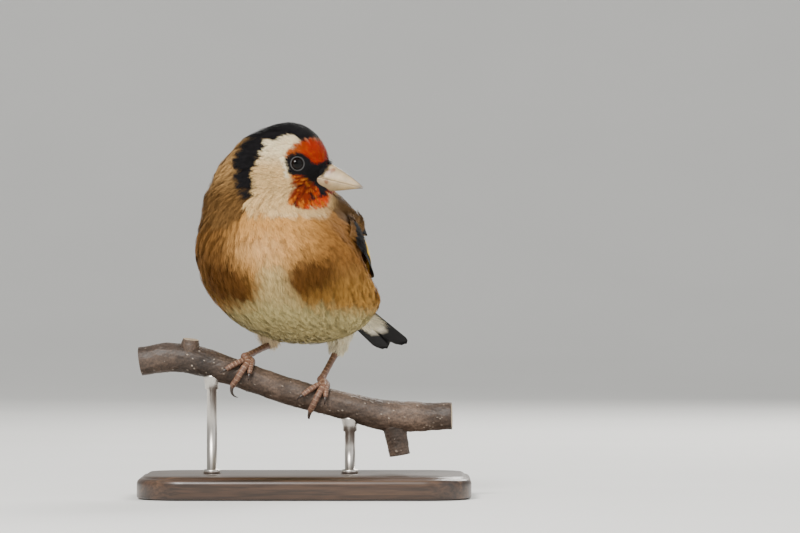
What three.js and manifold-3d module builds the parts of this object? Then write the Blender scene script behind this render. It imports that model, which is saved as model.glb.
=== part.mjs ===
// A life-size European goldfinch on a cut length of branch, held over a flat base by two short rods.
// Millimetres, +Z up. The viewer stands at -Y and +X is to the viewer's right. The origin is the
// centre of the base's underside. The bird is built in its own frame, x forward, y to its left, z up,
// whose origin lies on the perch's axis midway between the feet. Its head has a frame of its own too.
import * as THREE from "three";
import { mergeVertices } from "three/addons/utils/BufferGeometryUtils.js";
import Module from "manifold-3d";

const wasm = await Module();
wasm.setup();

// Pose
const birdPlace = [-6.8, 0, 31]; // the bird's origin, on the perch's axis
const bodyYaw = 20; // degrees that the breast points to the viewer's left
const headPlace = [7, 3.6, 65.8]; // middle of the skull, in the bird's frame
const headTurn = 92; // degrees to the bird's left
const seam = 0.3; // gap between neighbouring pieces

// Outer form of the plumage: rounded masses that flow into each other
const blend = 2.4; // how softly the masses flow together
const bodyMasses = [
  { at: [4.7, 2.8, 37.9], size: [20.8, 25.2, 20.2], pitch: 0 }, // breast
  { at: [-5.7, 3.2, 29.1], size: [21, 24, 14.7], pitch: 22 }, // belly and flanks
  { at: [-11.2, 0.7, 43.3], size: [20, 20, 13.6], pitch: 42 }, // back
  { at: [-25.9, 2.6, 31], size: [13.5, 9.1, 7.3], pitch: 26 }, // rump
  { at: [-19.5, 3.4, 25.2], size: [15.5, 11.5, 7.6], pitch: 20 }, // vent
  { at: [4.5, -6.7, 47.3], size: [15.1, 17.3, 13.8], pitch: 0 }, // throat
  { at: [-1.7, -6.9, 58.3], size: [13.2, 13.6, 12.5], pitch: 0 }, // nape, bunched by the turn
];
const headMasses = [
  { at: [2, 0, 0.5], size: [9.4, 9.7, 10.1], pitch: 0 }, // skull
  { at: [-5.9, 0, 0.3], size: [8.4, 8.3, 7.2], pitch: 0 }, // back of the crown
  { at: [-2.3, 4.2, -5], size: [8.4, 6.4, 8.1], pitch: 0 }, // left cheek
  { at: [-2.3, -4.2, -5], size: [8.4, 6.4, 8.1], pitch: 0 }, // right cheek
  { at: [4.7, 0, -9.9], size: [7.8, 4.7, 6.4], pitch: 0 }, // chin
  { at: [6, 0, -1.9], size: [4.7, 3.6, 4.9], pitch: 0 }, // face round the bill
];
const neckLean = 18; // degrees that both neck cuts lean forward
const neckLow = 50.5; // height of the lower cut over the bird's origin
const neckHigh = 57;

// Eyes, in the head's frame
const eyeRadius = 2.3;
const eyeAim = [6.7, 9.5, -0.3]; // where the eye looks out, mirrored for the right
const eyeDepth = 1.7; // the eye's centre below the plumage
const lidRadius = 2.35;
const lidThickness = 0.42;

// Bill, in the head's frame
const billRoot = [9.2, 0, -4.1];
const billTip = [23.2, 0, -7.6];
const billHalfWidth = 3.7;
const culmenHeight = 5; // over the mouth line, at the root
const gonysDepth = 4.6; // under it
const nostrilSize = [0.62, 0.5, 0.4];
const nostrilPlace = [13.4, 1.85, -1.9];

// Folded wing, left side: its lower and upper edge from wrist to tip, in the bird's frame
const wingLower = [[9.5, 23, 41], [-7, 26, 31.5], [-33, 17, 27.5], [-56, 6.4, 21.6]];
const wingUpper = [[4, 20, 46], [-10, 17, 52], [-32, 4.5, 42], [-54, 2.8, 24.6]];
const wingLean = 2.2; // the tail turns to the left and takes both wing tips that far with it
const coreLength = 0.6; // share of the folded wing that is backed by a solid core
const coreHeights = [0.4, 0.85]; // of its inner and outer face over the body
const shoulderHeight = 1.3; // of the small coverts at the wrist
const shoulderLength = [0.12, 0.34];
const edgeHeight = 0.4; // of the wing's upper edge and wrist, where the mantle closes over them
const wingBed = 2.1; // how deep the folded wing lies in the plumage
const wingBedMiddle = [-9, 39]; // of that hollow, seen from the side
const wingBedSize = [23, 8.8];
const wingBedPitch = 27;
const vaneThickness = 0.5;
// Rows of wing feathers from the lowest to the topmost: how many, where the first and last start and
// end on the wing (share along, share across), widths, and height over the body
const wingRows = [
  { count: 6, root: [[0.2, 0.1], [0.28, 0.3]], tip: [[1, 0.35], [0.74, 0.6]], wide: [2.4, 3], lift: [0.9, 1.1] },
  { count: 4, root: [[0.24, 0.34], [0.3, 0.62]], tip: [[0.6, 0.45], [0.68, 0.72]], wide: [3.4, 3.6], lift: [1.3, 1.4] },
  { count: 3, root: [[0.28, 0.68], [0.26, 0.88]], tip: [[0.66, 0.8], [0.52, 0.93]], wide: [4.4, 4.4], lift: [1.6, 1.7] },
  { count: 2, root: [[0.1, 0.06], [0.14, 0.18]], tip: [[0.42, 0.06], [0.38, 0.2]], wide: [2.8, 3], lift: [1.2, 1.3] },
  { count: 5, root: [[0.12, 0.24], [0.14, 0.86]], tip: [[0.4, 0.28], [0.38, 0.9]], wide: [4.2, 4.4], lift: [1.5, 1.6] },
  { count: 5, root: [[0.06, 0.2], [0.08, 0.84]], tip: [[0.26, 0.22], [0.26, 0.88]], wide: [3.8, 4], lift: [1.8, 1.9] },
];

// Tail, in the bird's frame
const tailRoot = [-30, 2.9, 30.6];
const tailPitch = 21.5; // degrees below level
const tailTurn = 7; // degrees to the bird's left
const tailRoll = 12; // degrees, left side up
const tailPairs = 6;
const tailLength = [43.5, 46.5]; // middle pair and outermost pair: the tail is notched
const tailFan = 0.35; // degrees between neighbours
const tailStep = 0.42; // each pair lies that far under the one inside it
const tailFeatherWidth = [6, 5];

// Legs: ankle and pad of each foot in the bird's frame
const legs = [
  { side: "left", thighTop: [-16, 13.2, 22.5], ankle: [-15.4, 11.3, 10.9], pad: [-4, 10.8, 2.7], hook: 0.3 },
  { side: "right", thighTop: [-6.5, -7.6, 23], ankle: [-10.2, -7.2, 13], pad: [4.6, -9.6, 9.3], hook: 0.8 },
];
const thighRadii = [3.7, 3.2, 2.4, 1.3];
const tarsusRadius = 0.82;
const ankleRadius = 1.02;
const padRadius = 1.05;
// Toes of a foot: turn round the perch in degrees from start to end (90 is the top and 0 faces the
// viewer), how far the tip is shifted along the perch, radius, and length of the claw
const toes = [
  { name: "hallux", from: 98, to: 190, shift: 1.2, radius: 0.85, claw: 5.4 },
  { name: "inner", from: 82, to: 2, shift: -5.4, radius: 0.76, claw: 3.6 },
  { name: "middle", from: 80, to: -46, shift: -2.3, radius: 0.86, claw: 5.6 },
  { name: "outer", from: 84, to: 14, shift: 0.9, radius: 0.74, claw: 3.6 },
];
const clawLift = 32; // degrees that a claw starts away from the perch
const clawCurl = 75; // degrees that it bends over its length

// Perch: its axis from the left cut to the right cut, with the radius at each point
const perchAxis = [
  [-47.8, 1.5, 38.9, 4.1], [-39, 0.8, 40.2, 4.2], [-30.5, 0.2, 39, 4.15], [-23.2, 0, 36.8, 3.95],
  [-17.4, 0, 34.7, 3.9], [-6.8, 0, 31, 3.85], [4.3, 0, 27.9, 3.85], [14.5, 0, 25.4, 4],
  [24.6, 0, 23.2, 4.5], [33.3, -0.4, 23, 4.15], [42.5, -1, 23.2, 3.9],
];
const perchRadius = 3.85; // where the feet hold it
const perchSides = 12;
const perchSteps = 24;
const forkAxis = [[25.2, 0, 22.6, 3.6], [26.6, 0.2, 16.5, 3.1], [27.4, 0.3, 11.8, 2.95]];
const knobAxis = [[-34.2, 0.4, 39.5, 3.3], [-33.4, -0.6, 43, 2.9], [-33.1, -0.9, 45.4, 2.3]];

// Stand
const baseSize = [96, 62, 6.5];
const baseCorner = 14;
const baseBevel = 1;
const rodRadius = 1.5;
const rodPlaces = [-27, 13]; // along X
const collarRadius = 2.5;
const collarHeight = 4.2;
const rodSides = 16;

const rad = THREE.MathUtils.degToRad;
const lerp = THREE.MathUtils.lerp;
const vec = (p) => new THREE.Vector3(p[0], p[1], p[2]);
const mirrored = (p, side) => [p[0], p[1] * side, p[2]];

const birdFrame = new THREE.Matrix4()
  .makeRotationZ(-rad(90 + bodyYaw))
  .setPosition(vec(birdPlace));
const headFrame = new THREE.Matrix4().makeRotationZ(rad(headTurn)).setPosition(vec(headPlace));
const toHead = headFrame.clone().invert();
const toBird = birdFrame.clone().invert();

// Booleans

function solidOf(geometry) {
  const bare = geometry.clone();
  bare.deleteAttribute("normal");
  bare.deleteAttribute("uv");
  const merged = mergeVertices(bare, 1e-4);
  return new wasm.Manifold(
    new wasm.Mesh({
      numProp: 3,
      vertProperties: new Float32Array(merged.attributes.position.array),
      triVerts: new Uint32Array(merged.index.array),
    }),
  );
}

function geometryOf(solid) {
  const mesh = solid.getMesh();
  return new THREE.BufferGeometry()
    .setAttribute("position", new THREE.BufferAttribute(mesh.vertProperties, mesh.numProp))
    .setIndex(new THREE.BufferAttribute(mesh.triVerts, 1));
}

function largest(solid) {
  return solid.decompose().sort((a, b) => b.volume() - a.volume())[0];
}

function joined(geometries) {
  return largest(geometries.map(solidOf).reduce((sum, next) => sum.add(next)));
}

// Everything on one side of a plane through point, as a large block
function halfSpace(point, normal) {
  const reach = 150;
  const block = new THREE.BoxGeometry(2 * reach, 2 * reach, reach);
  block.translate(0, 0, reach / 2);
  const turn = new THREE.Quaternion().setFromUnitVectors(
    new THREE.Vector3(0, 0, 1),
    normal.clone().normalize(),
  );
  block.applyQuaternion(turn);
  block.translate(point.x, point.y, point.z);
  return solidOf(block);
}

// Closed surface through rings of equally many points, with flat ends. The faces named in mirrorSplit
// are cut along the other diagonal, so that both faces of a thin vane are cut alike.
function loft(rings, mirrorSplit = []) {
  const around = rings[0].length;
  const index = [];
  for (let k = 0; k + 1 < rings.length; k++) {
    for (let j = 0; j < around; j++) {
      const a = k * around + j;
      const b = k * around + ((j + 1) % around);
      const c = b + around;
      const d = a + around;
      if (mirrorSplit.includes(j)) index.push(a, b, d, b, c, d);
      else index.push(a, b, c, a, c, d);
    }
  }
  const last = (rings.length - 1) * around;
  for (let j = 1; j + 1 < around; j++) {
    index.push(0, j + 1, j, last, last + j, last + j + 1);
  }
  const points = rings.flat();
  let volume = 0;
  for (let i = 0; i < index.length; i += 3) {
    const [a, b, c] = [points[index[i]], points[index[i + 1]], points[index[i + 2]]];
    volume += a.dot(b.clone().cross(c));
  }
  if (volume < 0) index.reverse();
  return new THREE.BufferGeometry().setFromPoints(points).setIndex(index);
}

// Round tube along a smooth curve through points, each with its radius
function tube(stops, sides, steps) {
  const curve = new THREE.CatmullRomCurve3(stops.map(vec), false, "centripetal");
  const radii = stops.map((stop) => stop[3]);
  const frames = curve.computeFrenetFrames(steps, false);
  const rings = [];
  for (let k = 0; k <= steps; k++) {
    const t = k / steps;
    const place = t * (radii.length - 1);
    const low = Math.min(Math.floor(place), radii.length - 2);
    const radius = lerp(radii[low], radii[low + 1], place - low);
    const centre = curve.getPoint(t);
    const ring = [];
    for (let j = 0; j < sides; j++) {
      const angle = (2 * Math.PI * j) / sides;
      ring.push(
        centre
          .clone()
          .addScaledVector(frames.normals[k], radius * Math.cos(angle))
          .addScaledVector(frames.binormals[k], radius * Math.sin(angle)),
      );
    }
    rings.push(ring);
  }
  return loft(rings);
}

// Plumage surface

function massDistance(p, mass) {
  const turn = rad(mass.pitch);
  const x = p.x - mass.at[0];
  const z = p.z - mass.at[2];
  const q = [
    x * Math.cos(turn) + z * Math.sin(turn),
    p.y - mass.at[1],
    z * Math.cos(turn) - x * Math.sin(turn),
  ];
  const near = Math.hypot(...q.map((v, i) => v / mass.size[i]));
  const slope = Math.hypot(...q.map((v, i) => v / mass.size[i] ** 2));
  return (near * (near - 1)) / Math.max(slope, 1e-9);
}

// About the distance from p, in the bird's frame, to the plumage: negative inside
function depthAt(p) {
  const inHead = p.clone().applyMatrix4(toHead);
  const all = [
    ...bodyMasses.map((mass) => massDistance(p, mass)),
    ...headMasses.map((mass) => massDistance(inHead, mass)),
  ];
  const least = Math.min(...all);
  const form = least - blend * Math.log(all.reduce((sum, d) => sum + Math.exp((least - d) / blend), 0));
  return form + wingBed * wingShade(p);
}

// 1 where a folded wing covers the body, falling off softly round it
function wingShade(p) {
  const turn = rad(wingBedPitch);
  const x = p.x - wingBedMiddle[0];
  const z = p.z - wingBedMiddle[1];
  const along = (x * Math.cos(turn) + z * Math.sin(turn)) / wingBedSize[0];
  const across = (z * Math.cos(turn) - x * Math.sin(turn)) / wingBedSize[1];
  const inner = THREE.MathUtils.smoothstep(1.35 - Math.hypot(along, across), 0, 0.5);
  return inner * THREE.MathUtils.smoothstep(Math.abs(p.y), 4, 11);
}

function outwards(p) {
  const step = 0.05;
  const slope = [0, 1, 2].map((axis) => {
    const shift = new THREE.Vector3().setComponent(axis, step);
    return depthAt(p.clone().add(shift)) - depthAt(p.clone().sub(shift));
  });
  return vec(slope).normalize();
}

// Where a ray leaves the plumage for good
function surfaceAlong(origin, direction, grow, reach) {
  const steps = 60;
  let outer = reach;
  let inner = 0;
  for (let i = 1; i <= steps; i++) {
    const r = reach * (1 - i / steps);
    if (depthAt(origin.clone().addScaledVector(direction, r)) < grow) {
      inner = r;
      break;
    }
    outer = r;
  }
  for (let i = 0; i < 22; i++) {
    const middle = (inner + outer) / 2;
    if (depthAt(origin.clone().addScaledVector(direction, middle)) < grow) inner = middle;
    else outer = middle;
  }
  return origin.clone().addScaledVector(direction, (inner + outer) / 2);
}

// Closed body whose skin is the plumage, seen from a point inside it
function plumage(centre, detail, grow, reach) {
  const ball = new THREE.IcosahedronGeometry(1, detail);
  ball.deleteAttribute("normal");
  ball.deleteAttribute("uv");
  const form = mergeVertices(ball, 1e-4);
  const position = form.getAttribute("position");
  for (let i = 0; i < position.count; i++) {
    const direction = new THREE.Vector3().fromBufferAttribute(position, i).normalize();
    const p = surfaceAlong(vec(centre), direction, grow, reach);
    position.setXYZ(i, p.x, p.y, p.z);
  }
  return form;
}

const neckNormal = new THREE.Vector3(Math.sin(rad(neckLean)), 0, Math.cos(rad(neckLean)));
const neckAt = (height, shift) =>
  new THREE.Vector3(0, 0, height).addScaledVector(neckNormal, shift);
const bodyCentre = [1, 0.5, 44];
const bodyReach = 62;
const bodyWhole = solidOf(plumage(bodyCentre, 9, 0, bodyReach));
const bodyGrown = solidOf(plumage(bodyCentre, 9, seam, bodyReach));
const headWhole = solidOf(plumage(headPlace, 7, 0, 34));
const headGrown = solidOf(plumage(headPlace, 7, seam, 34));
const below = neckNormal.clone().negate();

function makeTorso() {
  return largest(bodyWhole.intersect(halfSpace(neckAt(neckLow, -seam / 2), below)));
}

function makeNeck() {
  return largest(
    bodyWhole
      .intersect(halfSpace(neckAt(neckLow, seam / 2), neckNormal))
      .intersect(halfSpace(neckAt(neckHigh, -seam / 2), below)),
  );
}

// Head with a socket and a raised ring of lid for each eye
function makeHead() {
  let head = headWhole.intersect(halfSpace(neckAt(neckHigh, seam / 2), neckNormal));
  for (const side of [1, -1]) {
    const { centre, look } = eyeSeat(side);
    const lid = new THREE.TorusGeometry(lidRadius, lidThickness, 6, 16);
    lid.applyQuaternion(new THREE.Quaternion().setFromUnitVectors(new THREE.Vector3(0, 0, 1), look));
    const ring = centre.clone().addScaledVector(look, eyeDepth - 0.1);
    lid.translate(ring.x, ring.y, ring.z);
    const socket = new THREE.SphereGeometry(eyeRadius + seam, 13, 9);
    socket.translate(centre.x, centre.y, centre.z);
    const funnel = new THREE.ConeGeometry(lidRadius, lidRadius * 2, 16);
    funnel.applyQuaternion(
      new THREE.Quaternion().setFromUnitVectors(new THREE.Vector3(0, -1, 0), look),
    );
    const mouth = centre.clone().addScaledVector(look, lidRadius);
    funnel.translate(mouth.x, mouth.y, mouth.z);
    head = head.subtract(solidOf(funnel)).add(solidOf(lid)).subtract(solidOf(socket));
  }
  return largest(head);
}

// Centre of an eye and the way it looks, in the bird's frame
function eyeSeat(side) {
  const aim = vec(mirrored(eyeAim, side)).applyMatrix4(headFrame);
  const direction = aim.sub(vec(headPlace)).normalize();
  const skin = surfaceAlong(vec(headPlace), direction, 0, 24);
  const look = outwards(skin);
  return { centre: skin.clone().addScaledVector(look, -eyeDepth), look };
}

function makeEye(side) {
  const { centre } = eyeSeat(side);
  const ball = new THREE.SphereGeometry(eyeRadius, 13, 9);
  ball.translate(centre.x, centre.y, centre.z);
  return solidOf(ball);
}

// Half of the bill: half-rings from the root to the point, which arch up or down from the mouth line
function billHalf(height, up) {
  const steps = 9;
  const arc = 9;
  const rings = [];
  for (let k = 0; k <= steps; k++) {
    const t = k / steps;
    const centre = vec(billRoot).lerp(vec(billTip), t);
    const taper = (1 - t) ** 0.86;
    const width = Math.max(billHalfWidth * taper, 0.2);
    const arch = Math.max(height * taper * (1 + 0.22 * t), 0.28);
    const ring = [];
    for (let j = 0; j <= arc; j++) {
      const angle = (Math.PI * j) / arc;
      ring.push(
        new THREE.Vector3(
          centre.x,
          width * Math.cos(angle),
          centre.z + up * (seam / 2 + arch * Math.sin(angle) ** 0.8),
        ),
      );
    }
    rings.push(ring);
  }
  const half = loft(rings);
  half.applyMatrix4(headFrame);
  return solidOf(half);
}

function makeUpperBill() {
  let bill = billHalf(culmenHeight, 1).subtract(headGrown);
  for (const side of [1, -1]) {
    const pit = new THREE.SphereGeometry(1, 8, 6);
    pit.scale(...nostrilSize);
    pit.translate(...mirrored(nostrilPlace, side));
    pit.applyMatrix4(headFrame);
    bill = bill.subtract(solidOf(pit));
  }
  return largest(bill);
}

function makeLowerBill() {
  return largest(billHalf(gonysDepth, -1).subtract(headGrown));
}

// Feathers

// Thin closed vane along a centre line, with its width across and its face outwards
function vane(centres, acrosses, faces, halfWidth, thickness) {
  const last = centres.length - 1;
  const rings = centres.map((centre, k) => {
    const t = k / last;
    const w = halfWidth * lerp(0.5, 1, Math.min(3 * t, 1)) * lerp(1, 0.35, Math.max(4 * t - 3, 0));
    const h = (k < last ? thickness : thickness * 0.5) / 2;
    const corner = (side, up) =>
      centre.clone().addScaledVector(acrosses[k], side * w).addScaledVector(faces[k], up * h);
    return [corner(-1, 1), corner(1, 1), corner(1, -1), corner(-1, -1)];
  });
  return loft(rings, [2]);
}

function bezier(stops, t) {
  return new THREE.CubicBezierCurve3(...stops.map(vec)).getPoint(t);
}

// Point of the folded wing, a share along from wrist to tip and a share across from its lower edge,
// at that height over the plumage, or out of it past the rump
function wingPoint(along, across, lift, side) {
  const border = Math.max(
    THREE.MathUtils.smoothstep(across, 0.35, 0.9),
    0.5 * THREE.MathUtils.smoothstep(-along, -0.1, 0),
  );
  const height = lerp(lift, Math.min(lift, edgeHeight), border * (1 - along));
  const p = bezier(wingLower, along).lerp(bezier(wingUpper, along), across);
  p.y = p.y * side + wingLean * along ** 2;
  const inside = new THREE.Vector3(p.x * 0.9, wingLean * along ** 2, p.z - 7);
  const way = p.clone().sub(inside);
  const reach = way.length();
  const skin = surfaceAlong(inside, way.normalize(), height, 40);
  const beyond = THREE.MathUtils.smoothstep(along, 0.45, 0.75);
  const from = skin.distanceTo(inside);
  return inside.addScaledVector(way, lerp(from, Math.max(from, reach + height), beyond));
}

// One feather of the wing from its root to its tip on the wing's surface, tilted like a roof tile so
// that its lower edge lies over the next feather out
function wingFeather(root, tip, halfWidth, height, side) {
  const stations = 4;
  const tilt = 0.18;
  const centres = [];
  for (let k = 0; k < stations; k++) {
    const t = k / (stations - 1);
    const settle = height * lerp(0.8, 1, t);
    centres.push(wingPoint(lerp(root[0], tip[0], t), lerp(root[1], tip[1], t), settle, side));
  }
  const acrosses = [];
  const faces = [];
  centres.forEach((centre, k) => {
    const ahead = centres[Math.min(k + 1, stations - 1)].clone();
    const along = ahead.sub(centres[Math.max(k - 1, 0)]).normalize();
    const out = depthAt(centre) < 6 ? outwards(centre) : faces[k - 1].clone();
    const across = along.clone().cross(out).normalize();
    const face = across.clone().cross(along).normalize();
    if (across.z > 0) across.negate();
    across.addScaledVector(face, tilt).normalize();
    acrosses.push(across);
    faces.push(face);
  });
  return vane(centres, acrosses, faces, halfWidth, vaneThickness);
}

// Backing of the wing: a slab that follows the body, with rounded ends
function wingCore(side) {
  const rows = 7;
  const columns = 4;
  const rings = [];
  for (let k = 0; k <= rows; k++) {
    const t = k / rows;
    const along = lerp(0.015, coreLength, t);
    const pinch = 0.5 * (1 - Math.sqrt(Math.max(1 - (2 * t - 1) ** 6, 0.12)));
    const at = (j, height) => {
      const across = lerp(0.04 + pinch * 0.8, 0.97 - pinch * 0.8, j / columns);
      return wingPoint(along, across, height, side);
    };
    const small = 1 - THREE.MathUtils.smoothstep(along, ...shoulderLength);
    const top = lerp(coreHeights[1], shoulderHeight, small);
    const ring = [];
    for (let j = 0; j <= columns; j++) ring.push(at(j, top));
    for (let j = columns; j >= 0; j--) ring.push(at(j, coreHeights[0]));
    rings.push(ring);
  }
  return loft(rings);
}

function makeWing(side) {
  const pieces = [wingCore(side)];
  for (const row of wingRows) {
    for (let i = 0; i < row.count; i++) {
      const t = row.count > 1 ? i / (row.count - 1) : 0;
      const root = [0, 1].map((n) => lerp(row.root[0][n], row.root[1][n], t));
      const tip = [0, 1].map((n) => lerp(row.tip[0][n], row.tip[1][n], t));
      const halfWidth = lerp(row.wide[0], row.wide[1], t) / 2;
      pieces.push(wingFeather(root, tip, halfWidth, lerp(row.lift[0], row.lift[1], t), side));
    }
  }
  return largest(joined(pieces).subtract(bodyGrown));
}

// Tail of paired feathers, each pair a step below the one inside it, the whole turned as one
function makeTail() {
  const pieces = [];
  const stations = 5;
  for (let i = 0; i < tailPairs; i++) {
    for (const side of [1, -1]) {
      const share = i / (tailPairs - 1);
      const length = lerp(tailLength[0], tailLength[1], share);
      const halfWidth = lerp(tailFeatherWidth[0], tailFeatherWidth[1], share) / 2;
      const angle = rad(tailFan * (i + 0.5) * side);
      const drop = -tailStep * (i + (side > 0 ? 0 : 0.35));
      const centres = [];
      for (let k = 0; k < stations; k++) {
        const reach = (length * k) / (stations - 1);
        const spread = 0.3 * (i + 0.5) * side;
        const droop = drop * lerp(0.55, 1, k / (stations - 1));
        centres.push(
          new THREE.Vector3(-reach * Math.cos(angle), spread + reach * Math.sin(angle), droop),
        );
      }
      const across = new THREE.Vector3(0, 1, 0.1 * side).normalize();
      const face = new THREE.Vector3(0, -0.1 * side, 1).normalize();
      pieces.push(
        vane(centres, centres.map(() => across), centres.map(() => face), halfWidth, vaneThickness),
      );
    }
  }
  const turn = new THREE.Matrix4()
    .makeRotationZ(-rad(tailTurn))
    .multiply(new THREE.Matrix4().makeRotationY(-rad(tailPitch)))
    .multiply(new THREE.Matrix4().makeRotationX(rad(tailRoll)));
  turn.setPosition(vec(tailRoot));
  const whole = joined(pieces.map((piece) => piece.applyMatrix4(turn)));
  return largest(whole.subtract(bodyGrown));
}

// Legs and feet

function taperedTube(from, to, radii, sides) {
  const stops = radii.map((radius, k) => {
    const p = from.clone().lerp(to, k / (radii.length - 1));
    return [p.x, p.y, p.z, radius];
  });
  return tube(stops, sides, (radii.length - 1) * 2);
}

function makeThigh(leg) {
  const ankle = vec(leg.ankle);
  const top = vec(leg.thighTop);
  const end = ankle.clone().lerp(top, 0.04);
  return largest(solidOf(taperedTube(top, end, thighRadii, 12)).subtract(bodyGrown));
}

function makeTarsus(leg) {
  const ankle = vec(leg.ankle);
  const pad = vec(leg.pad);
  const down = pad.clone().sub(ankle).normalize();
  const thighWay = ankle.clone().sub(vec(leg.thighTop)).normalize();
  const start = ankle.clone().addScaledVector(thighWay, seam + 0.35);
  const end = pad.clone().addScaledVector(down, -padRadius);
  const radii = [ankleRadius, tarsusRadius, tarsusRadius * 0.95, tarsusRadius, tarsusRadius * 1.1];
  const tarsus = solidOf(taperedTube(start, end, radii, 8));
  const thigh = taperedTube(vec(leg.thighTop), ankle.clone(), thighRadii.map((r) => r + seam), 12);
  return largest(
    tarsus.subtract(solidOf(thigh)).subtract(makeFoot(leg, seam)).subtract(bodyGrown),
  );
}

const perchCurve = new THREE.CatmullRomCurve3(perchAxis.map(vec), false, "centripetal");

// Point over the perch at x, turned round its axis, in the bird's frame
function overPerch(x, angle, clear) {
  let low = 0;
  let high = 1;
  for (let i = 0; i < 30; i++) {
    const middle = (low + high) / 2;
    if (perchCurve.getPoint(middle).x < x) low = middle;
    else high = middle;
  }
  const centre = perchCurve.getPoint(low);
  const tangent = perchCurve.getTangent(low);
  const front = new THREE.Vector3(0, -1, 0);
  const top = front.clone().cross(tangent).normalize();
  const place = low * (perchAxis.length - 1);
  const step = Math.min(Math.floor(place), perchAxis.length - 2);
  const radius = lerp(perchAxis[step][3], perchAxis[step + 1][3], place - step) + clear;
  return centre
    .addScaledVector(front, radius * Math.cos(rad(angle)))
    .addScaledVector(top, radius * Math.sin(rad(angle)))
    .applyMatrix4(toBird);
}

// Centre line of a toe, from the pad over the perch to the root of its claw
function toeLine(leg, toe) {
  const pad = vec(leg.pad);
  const start = pad.clone().applyMatrix4(birdFrame).x;
  const clear = toe.radius + seam + 0.12;
  const stops = [[pad.x, pad.y, pad.z, toe.radius * 1.15]];
  const steps = 5;
  for (let k = 1; k <= steps; k++) {
    const t = k / steps;
    const p = overPerch(start + toe.shift * t, lerp(toe.from, toe.to, t), clear);
    stops.push([p.x, p.y, p.z, toe.radius * lerp(1.08, 0.86, t)]);
  }
  return stops;
}

function makeFoot(leg, grow = 0) {
  const pad = new THREE.SphereGeometry(padRadius + grow, 9, 6);
  pad.translate(...leg.pad);
  const grown = (stops) => stops.map((stop) => [stop[0], stop[1], stop[2], stop[3] + grow]);
  return joined([pad, ...toes.map((toe) => tube(grown(toeLine(leg, toe)), 7, 8))]);
}

// Claw that goes on from the end of a toe and bends round the perch, or along it by the leg's hook
function makeClaw(leg, toe) {
  const line = toeLine(leg, toe).map(vec);
  const end = line[line.length - 1];
  const along = end.clone().sub(line[line.length - 2]).normalize();
  const middle = overPerch(end.clone().applyMatrix4(birdFrame).x, 0, -perchRadius);
  const outer = end.clone().sub(middle);
  outer.addScaledVector(along, -outer.dot(along)).normalize();
  const share = toe.name === "middle" ? leg.hook : 0;
  const sideways = new THREE.Vector3(1, 0, 0).transformDirection(toBird);
  const inward = outer.clone().multiplyScalar(share - 1).addScaledVector(sideways, share).normalize();
  const lift = rad(clawLift);
  const start = along.clone().multiplyScalar(Math.cos(lift)).addScaledVector(outer, Math.sin(lift));
  const stations = 6;
  const stops = [];
  const p = end.clone().addScaledVector(along, seam + 0.12).addScaledVector(outer, 0.1);
  for (let k = 0; k < stations; k++) {
    const t = k / (stations - 1);
    stops.push([p.x, p.y, p.z, lerp(toe.radius * 0.72, 0.14, t)]);
    const bend = rad(clawCurl) * t;
    const way = start.clone().multiplyScalar(Math.cos(bend)).addScaledVector(inward, Math.sin(bend));
    p.addScaledVector(way, toe.claw / (stations - 1));
  }
  return solidOf(tube(stops, 7, 5));
}

// Perch and stand

function makePerch(grow = 0) {
  const grown = (stops) => stops.map((stop) => [stop[0], stop[1], stop[2], stop[3] + grow]);
  const branch = tube(grown(perchAxis), perchSides, perchSteps);
  return joined([branch, tube(grown(forkAxis), 10, 4), tube(grown(knobAxis), 9, 3)]);
}

function makeBase() {
  const [length, width, height] = baseSize;
  const outline = new THREE.Shape();
  const x = length / 2 - baseBevel;
  const y = width / 2 - baseBevel;
  const r = baseCorner;
  outline.moveTo(-x + r, -y);
  outline.lineTo(x - r, -y);
  outline.absarc(x - r, -y + r, r, -Math.PI / 2, 0, false);
  outline.absarc(x - r, y - r, r, 0, Math.PI / 2, false);
  outline.absarc(-x + r, y - r, r, Math.PI / 2, Math.PI, false);
  outline.absarc(-x + r, -y + r, r, Math.PI, 1.5 * Math.PI, false);
  const slab = new THREE.ExtrudeGeometry(outline, {
    depth: height - 2 * baseBevel,
    bevelThickness: baseBevel,
    bevelSize: baseBevel,
    bevelSegments: 1,
    curveSegments: 5,
  });
  slab.translate(0, 0, baseBevel);
  return solidOf(slab);
}

// Rod from the base to the underside of the perch, with a collar shaped to the bark
function makeRod(x) {
  const under = overPerch(x, -90, 0).applyMatrix4(birdFrame).z;
  const bottom = baseSize[2] + seam;
  const shaft = new THREE.CylinderGeometry(rodRadius, rodRadius, under + 1 - bottom, rodSides);
  shaft.rotateX(Math.PI / 2);
  shaft.translate(x, 0, (under + 1 + bottom) / 2);
  const collar = new THREE.CylinderGeometry(collarRadius, collarRadius * 0.8, collarHeight, rodSides);
  collar.rotateX(Math.PI / 2);
  collar.translate(x, 0, under + 1.6 - collarHeight / 2);
  const foot = new THREE.CylinderGeometry(collarRadius, collarRadius, 1.2, rodSides);
  foot.rotateX(Math.PI / 2);
  foot.translate(x, 0, bottom + 0.6);
  return largest(joined([shaft, collar, foot]).subtract(makePerch(seam)));
}

// Scene

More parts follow.
